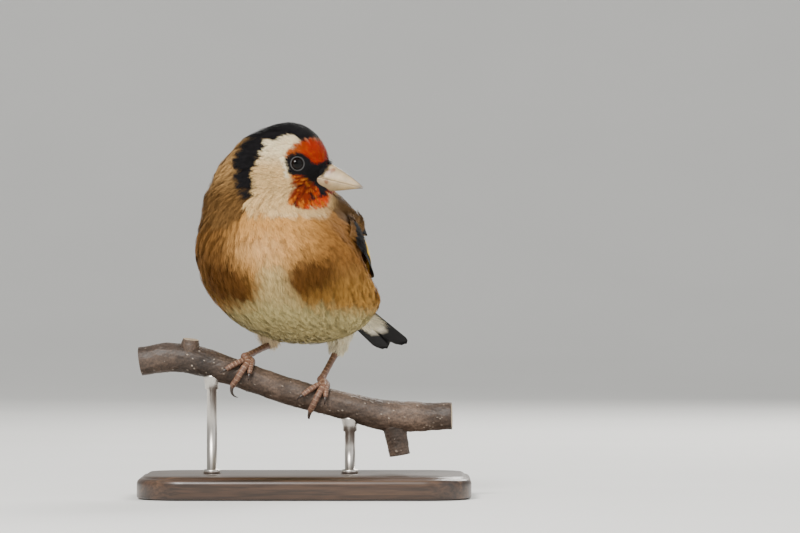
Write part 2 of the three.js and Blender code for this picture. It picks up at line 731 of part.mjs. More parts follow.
const finishes = {
  crown: new THREE.MeshStandardMaterial({ color: 0x16151a, roughness: 0.85 }),
  plumage: new THREE.MeshStandardMaterial({ color: 0xb98f62, roughness: 0.9 }),
  wing: new THREE.MeshStandardMaterial({ color: 0x1a1714, roughness: 0.65 }),
  belly: new THREE.MeshStandardMaterial({ color: 0xd9d2c4, roughness: 0.9 }),
  bill: new THREE.MeshStandardMaterial({ color: 0xd8cfc6, roughness: 0.4 }),
  eye: new THREE.MeshStandardMaterial({ color: 0x0a0808, roughness: 0.05 }),
  leg: new THREE.MeshStandardMaterial({ color: 0x8a655a, roughness: 0.6 }),
  claw: new THREE.MeshStandardMaterial({ color: 0x2a211d, roughness: 0.4 }),
  bark: new THREE.MeshStandardMaterial({ color: 0x5c4c48, roughness: 0.8 }),
  base: new THREE.MeshStandardMaterial({ color: 0x33261d, roughness: 0.45 }),
  metal: new THREE.MeshStandardMaterial({ color: 0xb0acA4, roughness: 0.3, metalness: 1 }),
};

function piece(name, solid, finish) {
  const mesh = new THREE.Mesh(geometryOf(solid), finishes[finish]);
  mesh.name = name;
  return mesh;
}

const bird = new THREE.Group();
bird.applyMatrix4(birdFrame);
bird.add(
  piece("head", makeHead(), "crown"),
  piece("neck", makeNeck(), "plumage"),
  piece("torso", makeTorso(), "plumage"),
  piece("bill_upper", makeUpperBill(), "bill"),
  piece("bill_lower", makeLowerBill(), "bill"),
  piece("eye_left", makeEye(1), "eye"),
  piece("eye_right", makeEye(-1), "eye"),
  piece("wing_left", makeWing(1), "wing"),
  piece("wing_right", makeWing(-1), "wing"),
  piece("tail", makeTail(), "wing"),
);
for (const leg of legs) {
  bird.add(
    piece(`thigh_${leg.side}`, makeThigh(leg), "belly"),
    piece(`tarsus_${leg.side}`, makeTarsus(leg), "leg"),
    piece(`foot_${leg.side}`, makeFoot(leg), "leg"),
  );
  for (const toe of toes) {
    bird.add(piece(`claw_${leg.side}_${toe.name}`, makeClaw(leg, toe), "claw"));
  }
}

const model = new THREE.Group();
model.add(bird, piece("perch", makePerch(), "bark"), piece("stand_base", makeBase(), "base"));
rodPlaces.forEach((x, i) => {
  model.add(piece(`stand_rod_${["left", "right"][i]}`, makeRod(x), "metal"));
});

export default model;
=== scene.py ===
import bpy
import numpy as np
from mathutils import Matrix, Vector


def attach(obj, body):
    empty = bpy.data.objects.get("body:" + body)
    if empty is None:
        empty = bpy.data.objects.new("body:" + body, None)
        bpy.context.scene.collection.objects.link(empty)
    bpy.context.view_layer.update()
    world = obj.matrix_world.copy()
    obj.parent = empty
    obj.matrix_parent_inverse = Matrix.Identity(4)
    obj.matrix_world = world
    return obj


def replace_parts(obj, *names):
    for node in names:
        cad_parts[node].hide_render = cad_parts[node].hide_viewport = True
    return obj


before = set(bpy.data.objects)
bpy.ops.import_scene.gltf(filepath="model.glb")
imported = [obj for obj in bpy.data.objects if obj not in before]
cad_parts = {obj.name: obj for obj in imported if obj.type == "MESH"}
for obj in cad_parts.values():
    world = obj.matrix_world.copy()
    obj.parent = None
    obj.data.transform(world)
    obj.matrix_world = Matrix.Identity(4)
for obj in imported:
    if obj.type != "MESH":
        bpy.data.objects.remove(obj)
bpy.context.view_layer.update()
print("frame loaded with", len(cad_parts), "nodes")

mm = 0.001
rng = np.random.default_rng(23)


# Small helpers for arrays

def unit(v):  # each vector divided by its length
    return v / np.maximum(np.linalg.norm(v, axis=-1, keepdims=True), 1e-12)


def dot(a, b):  # product of two vectors, kept as a column
    return (a * b).sum(-1, keepdims=True)


def ease(v, low, high):  # 0 below low, 1 above high, smooth between
    t = np.clip((v - low) / (high - low), 0, 1)
    return t * t * (3 - 2 * t)


def blend(a, b, share):  # a at share 0 and b at share 1
    return a + (b - a) * share


def turned(degrees):  # turn about z, for column vectors
    a = np.radians(degrees)
    return np.array([[np.cos(a), -np.sin(a), 0], [np.sin(a), np.cos(a), 0], [0, 0, 1]])


# Sum of a few slanted waves with seeded directions, about -1 to 1: a cheap smooth noise
def ripple(p, size, seed, waves=7):
    source = np.random.default_rng(seed)
    directions = unit(source.normal(size=(waves, 3))) * source.uniform(0.6, 1.6, (waves, 1))
    phases = source.uniform(0, 2 * np.pi, waves)
    return np.sin(p @ directions.T * (2 * np.pi / size) + phases).sum(-1) / waves ** 0.5


# Pose of the bird on the perch and of the head on the bird
pose = {
    "birdPlace": np.array([-6.8, 0, 31]),
    "bodyYaw": 20,
    "headPlace": np.array([7, 3.6, 65.8]),
    "headTurn": 92,
}
birdTurn = turned(-90 - pose["bodyYaw"])
headTurn = turned(pose["headTurn"])


def toWorld(p):  # bird's frame to metres in the room
    return (np.asarray(p, float) @ birdTurn.T + pose["birdPlace"]) * mm


def toBird(p):  # millimetres in the room to the bird's frame
    return (np.asarray(p, float) - pose["birdPlace"]) @ birdTurn


def toHead(p):  # bird's frame to the head's, whose origin is the middle of the skull
    return (p - pose["headPlace"]) @ headTurn


def fromHead(q):  # head's frame to the bird's
    return np.asarray(q, float) @ headTurn.T + pose["headPlace"]


# Outer form of the plumage: rounded masses, as place, half sizes and pitch, that flow together
form = {
    "softness": 2.4,
    "body": [
        ((4.7, 2.8, 37.9), (20.8, 25.2, 20.2), 0),  # breast
        ((-5.7, 3.2, 29.1), (21, 24, 14.7), 22),  # belly and flanks
        ((-11.2, 0.7, 43.3), (20, 20, 13.6), 42),  # back
        ((-25.9, 2.6, 31), (13.5, 9.1, 7.3), 26),  # rump
        ((-19.5, 3.4, 25.2), (15.5, 11.5, 7.6), 20),  # vent
        ((4.5, -6.7, 47.3), (15.1, 17.3, 13.8), 0),  # throat
        ((-1.7, -6.9, 58.3), (13.2, 13.6, 12.5), 0),  # nape
    ],
    "head": [
        ((2, 0, 0.5), (9.4, 9.7, 10.1), 0),  # skull
        ((-5.9, 0, 0.3), (8.4, 8.3, 7.2), 0),  # back of the crown
        ((-2.3, 4.2, -5), (8.4, 6.4, 8.1), 0),  # left cheek
        ((-2.3, -4.2, -5), (8.4, 6.4, 8.1), 0),  # right cheek
        ((4.7, 0, -9.9), (7.8, 4.7, 6.4), 0),  # chin
        ((6, 0, -1.9), (4.7, 3.6, 4.9), 0),  # face round the bill
    ],
    "billBed": 2.2,  # depth of the hollow at each corner of the mouth
    "wingBed": 2.1,  # depth of the hollow under a folded wing
    "bedMiddle": (-9, 39),
    "bedSize": (23, 8.8),
    "bedPitch": 27,
}


# Distance to a pitched ellipsoid: k0 (k0 - 1) / k1, where k0 and k1 are the lengths of the point
# divided once and twice by the half sizes
def massDistance(p, mass):
    at, size, pitch = mass
    a = np.radians(pitch)
    x, y, z = (p - np.array(at)).T
    q = np.stack([x * np.cos(a) + z * np.sin(a), y, z * np.cos(a) - x * np.sin(a)], -1)
    near = np.linalg.norm(q / np.array(size), axis=-1)
    slope = np.linalg.norm(q / np.array(size) ** 2, axis=-1)
    return near * (near - 1) / np.maximum(slope, 1e-9)


def bedShade(p):  # 1 under a folded wing, 0 away from it
    a = np.radians(form["bedPitch"])
    x = p[:, 0] - form["bedMiddle"][0]
    z = p[:, 2] - form["bedMiddle"][1]
    along = (x * np.cos(a) + z * np.sin(a)) / form["bedSize"][0]
    across = (z * np.cos(a) - x * np.sin(a)) / form["bedSize"][1]
    return ease(1.35 - np.hypot(along, across), 0, 0.5) * ease(np.abs(p[:, 1]), 4, 11)


# Distance to the plumage: a soft minimum over the masses, with the wing's hollow added
def depthAt(p):
    flat = p.reshape(-1, 3)
    inHead = toHead(flat)
    every = [massDistance(flat, mass) for mass in form["body"]]
    every += [massDistance(inHead, mass) for mass in form["head"]]
    every = np.stack(every)
    least = every.min(0)
    soft = form["softness"]
    away = least - soft * np.log(np.exp((least - every) / soft).sum(0))
    hx, hy, hz = inHead.T
    corner = np.exp(-((hx - 11.6) / 2.6) ** 2 - ((np.abs(hy) - 5) / 3) ** 2 - ((hz + 6.6) / 2.5) ** 2)
    away += form["billBed"] * corner
    return (away + form["wingBed"] * bedShade(flat)).reshape(p.shape[:-1])


def outwards(p):  # direction in which the distance grows fastest
    step = 0.05
    slopes = [depthAt(p + step * axis) - depthAt(p - step * axis) for axis in np.eye(3)]
    return unit(np.stack(slopes, -1))


# Where rays leave the form for good: coarse steps inwards from the far end, then halving
def castOut(origin, way, grow, reach, steps=24, halvings=14):
    shares = reach * (1 - np.arange(1, steps + 1) / steps)
    grow = np.broadcast_to(grow, way.shape[:-1])
    inside = np.stack([depthAt(origin + way * share) < grow for share in shares])
    inner = np.where(inside.any(0), shares[inside.argmax(0)], 0.0)
    outer = inner + reach / steps
    for _ in range(halvings):
        middle = (inner + outer) / 2
        within = depthAt(origin + way * middle[..., None]) < grow
        inner = np.where(within, middle, inner)
        outer = np.where(within, outer, middle)
    return origin + way * ((inner + outer) / 2)[..., None]


# Meshes

def addPiece(name, points, corners, sizes, material, smooth=True, colours=None, spots=None):
    # points in metres, corners as vertex numbers, sizes as corners of each face
    mesh = bpy.data.meshes.new(name)
    mesh.vertices.add(len(points))
    mesh.vertices.foreach_set("co", np.asarray(points, np.float32).ravel())
    mesh.loops.add(len(corners))
    mesh.loops.foreach_set("vertex_index", np.asarray(corners, np.int32))
    mesh.polygons.add(len(sizes))
    starts = np.concatenate([[0], np.cumsum(sizes)[:-1]])
    mesh.polygons.foreach_set("loop_start", starts.astype(np.int32))
    mesh.polygons.foreach_set("loop_total", np.asarray(sizes, np.int32))
    mesh.update(calc_edges=True)
    if smooth:
        mesh.polygons.foreach_set("use_smooth", np.ones(len(sizes), bool))
    if colours is not None:
        layer = mesh.color_attributes.new("marking", "FLOAT_COLOR", "POINT")
        rgba = np.concatenate([colours, np.ones((len(colours), 1))], 1)
        layer.data.foreach_set("color", rgba.astype(np.float32).ravel())
    if spots is not None:
        layer = mesh.uv_layers.new(name="OFBake")
        layer.data.foreach_set("uv", spots.astype(np.float32)[corners].ravel())
    mesh.materials.append(material)
    piece = bpy.data.objects.new(name, mesh)
    bpy.context.scene.collection.objects.link(piece)
    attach(piece, "root")
    return piece


# Corners of a grid of rows by columns whose columns close on themselves, with a fan at each end
# that is closed on an added middle point
def tubeCorners(rows, columns, capped=True):
    k, j = np.meshgrid(np.arange(rows - 1), np.arange(columns), indexing="ij")
    a = k * columns + j
    b = k * columns + (j + 1) % columns
    quads = np.stack([a, b, b + columns, a + columns], -1).reshape(-1, 4)
    if not capped:
        return quads.ravel(), np.full(len(quads), 4)
    ring = np.arange(columns)
    after = (ring + 1) % columns
    last = (rows - 1) * columns
    low = np.stack([after, ring, np.full(columns, rows * columns)], -1)
    high = np.stack([last + ring, last + after, np.full(columns, rows * columns + 1)], -1)
    corners = np.concatenate([quads.ravel(), low.ravel(), high.ravel()])
    return corners, np.concatenate([np.full(len(quads), 4), np.full(2 * columns, 3)])


# Points of a capped tube: its rows, then the middle of the first row and of the last
def capped(grid):
    flat = grid.reshape(-1, grid.shape[-1])
    return np.concatenate([flat, grid[0].mean(0)[None], grid[-1].mean(0)[None]])


def facingOut(points, corners, sizes):  # turns all faces round where they enclose a negative volume
    starts = np.concatenate([[0], np.cumsum(sizes)[:-1]])
    a, b, c = (points[corners[starts + i]] for i in range(3))
    volume = dot(a, np.cross(b, c)).sum()
    quads = starts[sizes == 4]
    d = points[corners[quads + 3]]
    volume += dot(points[corners[quads]], np.cross(points[corners[quads + 2]], d)).sum()
    if volume > 0:
        return corners
    ends = starts + sizes - 1
    order = np.arange(len(corners))
    place = order - np.repeat(starts, sizes)
    return corners[np.repeat(ends, sizes) - place]


# Several capped tubes as one mesh: grids of any size, each with its own colours
def addTubes(name, grids, material, colours=None, smooth=True, place=toWorld):
    points, corners, sizes, tints = [], [], [], []
    total = 0
    for i, grid in enumerate(grids):
        own = capped(grid)
        ownCorners, ownSizes = tubeCorners(grid.shape[0], grid.shape[1])
        ownCorners = facingOut(own, ownCorners, ownSizes)
        points.append(own)
        corners.append(ownCorners + total)
        sizes.append(ownSizes)
        total += len(own)
        if colours is not None:
            tints.append(capped(colours[i]))
    tints = np.concatenate(tints) if colours is not None else None
    corners, sizes = np.concatenate(corners), np.concatenate(sizes)
    points = place(np.concatenate(points))
    return addPiece(name, points, corners, sizes, material, smooth, tints)


# Smooth curve through stops: centripetal Catmull-Rom, whose tangents weigh each chord by the root of
# its length
def curveAt(stops, shares):
    stops = np.asarray(stops, float)
    padded = np.concatenate([[2 * stops[0] - stops[1]], stops, [2 * stops[-1] - stops[-2]]])
    place = np.clip(np.asarray(shares, float), 0, 1) * (len(stops) - 1)
    k = np.minimum(place.astype(int), len(stops) - 2)
    t = (place - k)[:, None]
    p0, p1, p2, p3 = (padded[k + i] for i in range(4))
    spans = [np.linalg.norm(b[:, :3] - a[:, :3], axis=1, keepdims=True) ** 0.5
             for a, b in ((p0, p1), (p1, p2), (p2, p3))]
    d0, d1, d2 = spans
    m1 = ((p1 - p0) / d0 - (p2 - p0) / (d0 + d1) + (p2 - p1) / d1) * d1
    m2 = ((p2 - p1) / d1 - (p3 - p1) / (d1 + d2) + (p3 - p2) / d2) * d1
    bends = (2 * p1 - 2 * p2 + m1 + m2) * t ** 3 + (3 * p2 - 3 * p1 - 2 * m1 - m2) * t ** 2
    return bends + m1 * t + p1


def frameAlong(line, reference):  # tangent, the reference squared up to it, and their cross product
    ahead = unit(np.gradient(line, axis=0))
    side = unit(reference - dot(reference, ahead) * ahead)
    return ahead, side, np.cross(ahead, side)


# Round tube: centre + radius (cos angle side + sin angle up), the radius given for each point
def tubeGrid(line, radii, reference, sides):
    ahead, side, up = frameAlong(line, np.asarray(reference, float))
    angle = np.arange(sides) * 2 * np.pi / sides
    if np.ndim(radii) < 2:
        radii = np.broadcast_to(np.asarray(radii, float), (sides, len(line))).T
    ring = np.cos(angle)[None, :, None] * side[:, None] + np.sin(angle)[None, :, None] * up[:, None]
    return line[:, None] + radii[..., None] * ring


# Materials

class Wire:  # a socket that takes part in arithmetic
    def __init__(self, finish, socket):
        self.finish = finish
        self.socket = socket

    def worked(self, operation, a, b):
        return self.finish.node("ShaderNodeMath", {"operation": operation}, {0: a, 1: b})

    def __add__(self, other):
        return self.worked("ADD", self, other)

    def __sub__(self, other):
        return self.worked("SUBTRACT", self, other)

    def __rsub__(self, other):
        return self.worked("SUBTRACT", other, self)

    def __mul__(self, other):
        return self.worked("MULTIPLY", self, other)

    __radd__ = __add__
    __rmul__ = __mul__


class Finish:  # one material and the nodes in it
    def __init__(self, name, **constants):
        self.material = bpy.data.materials.new(name)
        self.material.use_nodes = True
        self.tree = self.material.node_tree
        self.shader = self.tree.nodes["Principled BSDF"]
        self.fill(self.shader, constants)

    def fill(self, node, values):
        for key, value in values.items():
            socket = node.inputs[key.replace("_", " ") if isinstance(key, str) else key]
            if isinstance(value, Wire):
                self.tree.links.new(value.socket, socket)
            else:
                socket.default_value = (*value, 1) if np.ndim(value) and socket.type == "RGBA" else value

    def node(self, kind, settings={}, values={}, output=0):
        node = self.tree.nodes.new(kind)
        for key, value in settings.items():
            if key == "stops":
                self.setStops(node.color_ramp, value)
            else:
                setattr(node, key, value)
        self.fill(node, values)
        return Wire(self, node.outputs[output])

    def setStops(self, ramp, stops):
        while len(ramp.elements) < len(stops):
            ramp.elements.new(1)
        for element, (place, colour) in zip(ramp.elements, stops):
            element.position = place
            element.color = (*colour, 1) if np.ndim(colour) else (colour, colour, colour, 1)

    def noise(self, scale, detail=3, roughness=0.55, stretch=(1, 1, 1)):
        where = self.node("ShaderNodeTexCoord", output=3)
        where = self.node("ShaderNodeMapping", {}, {0: where, 3: stretch})
        return self.node("ShaderNodeTexNoise", {}, {"Vector": where, "Scale": scale, "Detail": detail,
                                                    "Roughness": roughness})

    def ramp(self, share, *stops):
        return self.node("ShaderNodeValToRGB", {"stops": stops}, {0: share})

    def marking(self):
        return self.node("ShaderNodeAttribute", {"attribute_name": "marking"})

    def mixed(self, share, a, b, way="MIX"):
        settings = {"data_type": "RGBA", "blend_type": way}
        return self.node("ShaderNodeMix", settings, {0: share, 6: a, 7: b}, 2)

    def bump(self, height, strength, depth):
        values = {"Height": height, "Strength": strength, "Distance": depth * mm}
        return self.node("ShaderNodeBump", {}, values)

    def use(self, **links):
        self.fill(self.shader, links)
        return self.material


def makePlumage():  # matt, the marking's colour a little uneven from tuft to tuft
    finish = Finish("plumage", Roughness=0.8, Specular_IOR_Level=0.12)
    clump = finish.ramp(finish.noise(300, 3), (0.3, 0.9), (0.7, 1.06))
    return finish.use(Base_Color=finish.mixed(1, finish.marking(), clump, "MULTIPLY"))


def makeQuill():  # matt vanes with a fine uneven bump
    finish = Finish("flight_feathers", Roughness=0.7, Specular_IOR_Level=0.12)
    streak = finish.ramp(finish.noise(900, 2), (0.3, 0.75), (0.7, 1.15))
    return finish.use(Base_Color=finish.mixed(1, finish.marking(), streak, "MULTIPLY"),
                      Normal=finish.bump(finish.noise(2600, 2), 0.25, 0.05))


def makeHorn():  # the bill: satin, slightly see-through horn
    finish = Finish("bill_horn", Roughness=0.36, Coat_Weight=0.15, Coat_Roughness=0.3)
    finish.shader.inputs["Subsurface Weight"].default_value = 0.12
    finish.shader.inputs["Subsurface Radius"].default_value = (1.2 * mm, 0.7 * mm, 0.4 * mm)
    mottle = finish.ramp(finish.noise(700, 4), (0.35, 0.84), (0.65, 1.08))
    return finish.use(Base_Color=finish.mixed(1, finish.marking(), mottle, "MULTIPLY"),
                      Roughness=finish.noise(500, 3) * 0.25 + 0.25,
                      Normal=finish.bump(finish.noise(1500, 4), 0.3, 0.06))


def makeEyeGloss():  # wet, nearly black
    finish = Finish("eye_gloss", Roughness=0.04, Specular_IOR_Level=0.16)
    cloud = finish.noise(900, 2) * 0.3
    return finish.use(Base_Color=finish.mixed(cloud, finish.marking(), (0.003, 0.0015, 0.001)))


def makeScaly(name, roughness):  # bare skin, lids and claws
    finish = Finish(name, Roughness=roughness, Coat_Weight=0.05)
    finish.shader.inputs["Subsurface Weight"].default_value = 0.08
    finish.shader.inputs["Subsurface Radius"].default_value = (0.8 * mm, 0.4 * mm, 0.3 * mm)
    mottle = finish.ramp(finish.noise(1300, 4), (0.35, 0.72), (0.65, 1.15))
    return finish.use(Base_Color=finish.mixed(1, finish.marking(), mottle, "MULTIPLY"),
                      Normal=finish.bump(finish.noise(3200, 3), 0.35, 0.05))


def makeBark():  # patches and specks over the marking's colour, smoother where it is dark
    finish = Finish("bark", Specular_IOR_Level=0.4)
    patch = finish.noise(120, 5, 0.62)
    fine = finish.noise(1500, 5, 0.65)
    shade = finish.ramp(patch, (0.3, 0.62), (0.5, 0.95), (0.72, 1.3))
    speck = finish.ramp(fine, (0.38, 0.62), (0.62, 1.25))
    colour = finish.mixed(1, finish.mixed(1, finish.marking(), shade, "MULTIPLY"), speck, "MULTIPLY")
    return finish.use(Base_Color=colour, Roughness=patch * 0.5 + 0.3,
                      Normal=finish.bump(fine * 0.6 + patch * 0.4, 0.5, 0.15))


def makeBaseWood():  # dark varnished wood, its grain stretched along the base
    finish = Finish("base_wood", Coat_Weight=0.35, Coat_Roughness=0.25)
    grain = finish.noise(60, 6, 0.6, (0.35, 5, 5))
    pores = finish.noise(420, 3, 0.6, (0.12, 3, 3))
    colour = finish.ramp(grain, (0.3, (0.022, 0.012, 0.007)), (0.5, (0.06, 0.03, 0.016)),
                         (0.7, (0.11, 0.058, 0.03)))
    dark = finish.ramp(pores, (0.42, 0.55), (0.55, 1.0))
    return finish.use(Base_Color=finish.mixed(1, colour, dark, "MULTIPLY"), Roughness=grain * 0.25 + 0.28,
                      Normal=finish.bump(pores, 0.25, 0.12))


def makeSteel():  # brushed steel rods
    finish = Finish("rod_steel", Metallic=1.0, Base_Color=(0.55, 0.52, 0.48))
    brushed = finish.noise(300, 3, 0.6, (6, 6, 0.4))
    return finish.use(Roughness=brushed * 0.2 + 0.24, Normal=finish.bump(brushed, 0.08, 0.03))


def makePlain(name, colour, roughness):  # one even colour
    finish = Finish(name, Roughness=roughness)
    tone = finish.ramp(finish.noise(9, 2), (0.3, 0.97), (0.7, 1.0))
    return finish.use(Base_Color=finish.mixed(1, colour, tone, "MULTIPLY"))


plumageFinish = makePlumage()
quillFinish = makeQuill()
hornFinish = makeHorn()
eyeFinish = makeEyeGloss()
skinFinish = makeScaly("leg_skin", 0.5)
lidFinish = makeScaly("lid_skin", 0.55)
clawFinish = makeScaly("claw_horn", 0.3)
barkFinish = makeBark()
print("materials made")


# Markings

tints = {
    "cheek": (0.70, 0.47, 0.21),
    "cheekWhite": (0.96, 0.80, 0.52),
    "crown": (0.010, 0.009, 0.010),
    "forehead": (0.40, 0.024, 0.003),
    "brow": (0.36, 0.075, 0.009),
    "red": (0.22, 0.023, 0.003),
    "chin": (0.62, 0.055, 0.005),
    "orange": (0.58, 0.17, 0.014),
    "mantle": (0.165, 0.082, 0.024),
    # nape: its own buff colour, made lighter to hold a painted rim of light
    "nape": (0.60, 0.35, 0.13),
    "throat": (0.88, 0.68, 0.42),
    "breast": (0.62, 0.31, 0.085),
    "side": (0.27, 0.115, 0.026),
    "patch": (0.095, 0.034, 0.004),
    "wedge": (0.56, 0.42, 0.19),
    "belly": (0.62, 0.51, 0.23),
    "flank": (0.52, 0.26, 0.055),
    "rump": (0.55, 0.44, 0.26),
    "white": (0.88, 0.78, 0.56),
    "black": (0.009, 0.008, 0.008),
    "yellow": (0.80, 0.50, 0.012),
    "tip": (0.80, 0.72, 0.56),
}
tints = {name: np.array(colour) for name, colour in tints.items()}

# Edges of the markings on the side of the head, as matching lists of heights or lengths
headMap = {
    "crownEdge": ((-30, -5, -2.3, 0.2, 2.3, 4.1, 5.9, 7.7, 9, 11),
                  (6.3, 6.3, 6.1, 6.2, 7.1, 8.1, 7.1, 5.7, 6.7, 6.2)),
    "bandHeights": (-18.5, -17, -13, -11, -7, -3.8, -0.9, 2.9, 6.4),
    "bandFront": (-4.6, -5.4, -8.2, -6.8, -5.3, -6.0, -5.1, -3.7, -3.0),
    "bandBack": (-4.6, -5.4, -8.2, -8.8, -11.4, -12.8, -13.4, -12.7, -12.3),
    "redHeights": (-14.2, -13, -11.9, -8.1, -4.3, -2, 1.2, 3.5, 5.5, 6.6),
    "redBack": (10, 6.2, 4.9, 5.6, 5.4, 5, 3.5, 4.7, 6.4, 8.4),
    "lores": [
        ((6.8, -0.9), (7.2, -0.9), 3.3, 3.2),
        ((7.6, -2.2), (12.5, -2.6), 1.9, 2.3),
        ((9.4, -3.4), (11.8, -6.4), 1.5, 1.6),
        ((11.8, -6.4), (12.8, -9), 1.3, 0.8),
        ((13.4, -9.6), (10.4, -11.4), 0.6, 0.3),
    ],
    "eyeStreak": ((3.1, 0.6), (4.5, -4.6), 0.6, 0.5),
}


# Markings of the body: places and half sizes in y and z, and the mantle's lower edge as matching lists
# of degrees round the neck from its middle and heights
bodyMap = {
    "patchLeft": ((16.5, 31.8), (7.5, 5.4)),
    "patchRight": ((-9, 30.4), (10.5, 6.2)),
    "pale": ((4, 40), (8, 4.5)),
    "wedgeMiddle": 6.5,
    "bellyTop": 25.4,
    "mantleTurns": (38, 42, 48, 58, 75, 100, 140, 180),
    "mantleHeights": (60, 51.5, 48.6, 46.7, 45.3, 44, 39, 37),
    "throatEnd": 16.5,  # below the head's middle
    "chinEnd": 14.1,
}


def spot(y, z, place, size, slope=0, hinge=0):  # bell curve round a place, tilted by a slope about a hinge
    across = (y - place[0]) / size[0]
    return np.exp(-(across ** 2 + ((z - place[1] - slope * (y - hinge)) / size[1]) ** 2))


# Distance inside a stroke whose radius goes from one end's to the other's
def insideStroke(x, z, stroke):
    (ax, az), (bx, bz), ra, rb = stroke
    dx, dz = bx - ax, bz - az
    share = np.clip(((x - ax) * dx + (z - az) * dz) / max(dx * dx + dz * dz, 1e-9), 0, 1)
    return blend(ra, rb, share) - np.hypot(x - ax - share * dx, z - az - share * dz)


def paint(colour, tint, mask):
    return blend(colour, tint, mask[:, None])


# Colour of the plumage at points of the bird's frame. Each marking is painted over those before it,
# with an edge that is a smooth step of the distance inside it
def markingsAt(p, chance=None):
    q = toHead(p)
    x, y, z = p.T
    hx, hy, hz = q.T
    colour = np.broadcast_to(tints["breast"], p.shape).copy()
    around = np.degrees(np.arctan2(y + 1, x - 2))
    # darker sides, paler belly, a wedge up the middle of the breast and a brown patch on each side of it
    middle = 5 + 0.12 * (x - 20)
    front = ease(x, -4, 8)
    aside = ease(np.abs(y - 6), 5, 18)
    sidePaintedShading = tints["side"] * blend(1.1, 0.6, ease(-y, -6, 4))[:, None]  # painted shade and light: the sides' own colour made darker on the right side and a little lighter on the left
    colour = paint(colour, sidePaintedShading, aside * ease(z, 30, 38) * 0.9)
    colour = paint(colour, tints["flank"], ease(33 - z + 0.15 * np.abs(y - middle), 0, 8))
    patches = spot(y, z, *bodyMap["patchLeft"], 0.25, 16) + spot(y, z, *bodyMap["patchRight"], -0.2, -8)
    colour = paint(colour, tints["patch"], np.clip(1.5 * patches, 0, 1) * front * 0.96)
    spread = 4.2 + 0.5 * np.clip(30 - z, 0, 12)
    wedge = ease(spread - np.abs(y - bodyMap["wedgeMiddle"]), -2.4, 2.8) * ease(39 - z, 0, 7) * front
    colour = paint(colour, tints["wedge"], wedge * 0.9)
    colour = paint(colour, tints["throat"], spot(y, z, *bodyMap["pale"]) * front * 0.18)
    belly = ease(bodyMap["bellyTop"] - z - 0.05 * np.abs(y - 5) ** 1.3, -2.2, 3.4)
    colour = paint(colour, tints["belly"], belly)
    colour = paint(colour, tints["white"], ease(-14 - x, 0, 8) * ease(29 - z, 0, 5) * 0.8)
    # brown mantle over the back and the sides of the neck
    off = ((around - 40 + 180) % 360) - 180
    off = np.where(off > 0, np.minimum(off * 1.27, 180), -off)
    edge = np.interp(off, bodyMap["mantleTurns"], bodyMap["mantleHeights"])
    mantle = ease(z - edge, -0.6, 0.8)
    colour = paint(colour, tints["mantle"], mantle)
    # paler nape: its own buff colour, lightened further by a painted rim of light
    colour = paint(colour, tints["nape"], ease(z, 55, 64) * mantle * 0.75)
    colour = paint(colour, tints["rump"], ease(-24 - x, 0, 6) * ease(z - 27, 0, 3) * 0.8)
    # cream throat and cheeks, white behind the red and below it
    bandFront = np.interp(hz, headMap["bandHeights"], headMap["bandFront"])
    shoulder = 7 * ease(hy, 0, 5) * ease(hx, 5, 10)
    face = ease(hz + bodyMap["throatEnd"] - shoulder, -0.9, 0.9) * ease(hx - bandFront, -0.3, 0.3)
    face = face * ease(15 - hx, -0.6, 0.6)
    lateral = ease(np.abs(hy), 3, 7)
    colour = paint(colour, tints["cheek"], face)
    colour = paint(colour, tints["cheekWhite"], face * ease(hz, -3, 4) * 0.9)
    colour = paint(colour, tints["cheekWhite"], face * ease(-14.5 - hz, 0, 2) * ease(hx, -2, 5) * 0.3)
    # black crown and the band down each side of the neck
    overCrown = ease(hz - np.interp(hx, *headMap["crownEdge"]), -0.25, 0.25)
    crown = overCrown * ease(hx + 16, 0, 1)
    bandBack = np.interp(hz, headMap["bandHeights"], headMap["bandBack"])
    band = ease(np.minimum(bandFront - hx, hx - bandBack), -0.3, 0.3) * ease(hz + 13, 0, 0.6)
    colour = paint(colour, tints["crown"], np.maximum(crown, band * lateral))
    # red face with orange flecks on the cheek
    redBack = np.interp(hz, headMap["redHeights"], headMap["redBack"])
    red = ease(hx - redBack, -0.3, 0.3)
    red = red * ease(hz + bodyMap["chinEnd"] - 0.05 * (hx - 10) ** 2 - 0.72 * shoulder, -0.3, 0.3)
    red *= ease(14.5 - hx - 0.25 * np.clip(-11 - hz, 0, 4), -0.2, 0.3)
    red = red * (1 - overCrown)
    fleck = np.ones(len(p)) if chance is None else chance
    low = ease(-3 - hz, 0, 2)
    reds = blend(tints["forehead"], tints["brow"], ease(9.5 - hx, 0, 3.5)[:, None])
    reds = blend(reds, tints["red"], low[:, None])
    reds = blend(reds, tints["chin"], (low * ease(hx + 0.3 * (-10 - hz), 9.5, 12.5))[:, None])
    warm = np.where(fleck < 0.1 + 0.1 * low, 1.0, 0) * blend(0.35, 0.9, low)
    reds = blend(reds, tints["orange"], warm[:, None])
    reds = blend(reds, tints["black"], (np.where(fleck > 0.9, 0.7, 0) * low)[:, None])
    colour = blend(colour, reds, red[:, None])
    # black lores, chin spot, and the pale streak behind the eye
    for stroke in headMap["lores"]:
        dark = ease(insideStroke(hx, hz, stroke), -0.25, 0.25) * (1 - ease(shoulder, 1, 3) * (hz < -7))
        colour = paint(colour, tints["crown"], dark * ease(np.abs(hy), 0.2, 1.4))
    streak = ease(insideStroke(hx, hz, headMap["eyeStreak"]), -0.15, 0.2)
    return paint(colour, tints["cheekWhite"] * 1.05, streak * lateral * 0.9)


# Skin

skin = {
    "rows": 220,
    "columns": 300,
    "reach": 48,
    # share from the tail to the crown, middle of the ring there, and the way its axis points
    "shares": (0, 0.3, 0.5, 0.68, 0.82, 1),
    "middles": ((-15, 3, 30.5), (-5, 2, 35), (1, 0, 43), (4, -2, 53), (6.5, 2.5, 62), (7, 3.6, 65.8)),
    "axes": ((0.95, 0, 0.25), (0.7, 0, 0.7), (0.3, 0, 0.95), (0.05, 0, 1), (0, 0, 1), (0, 0, 1)),
}


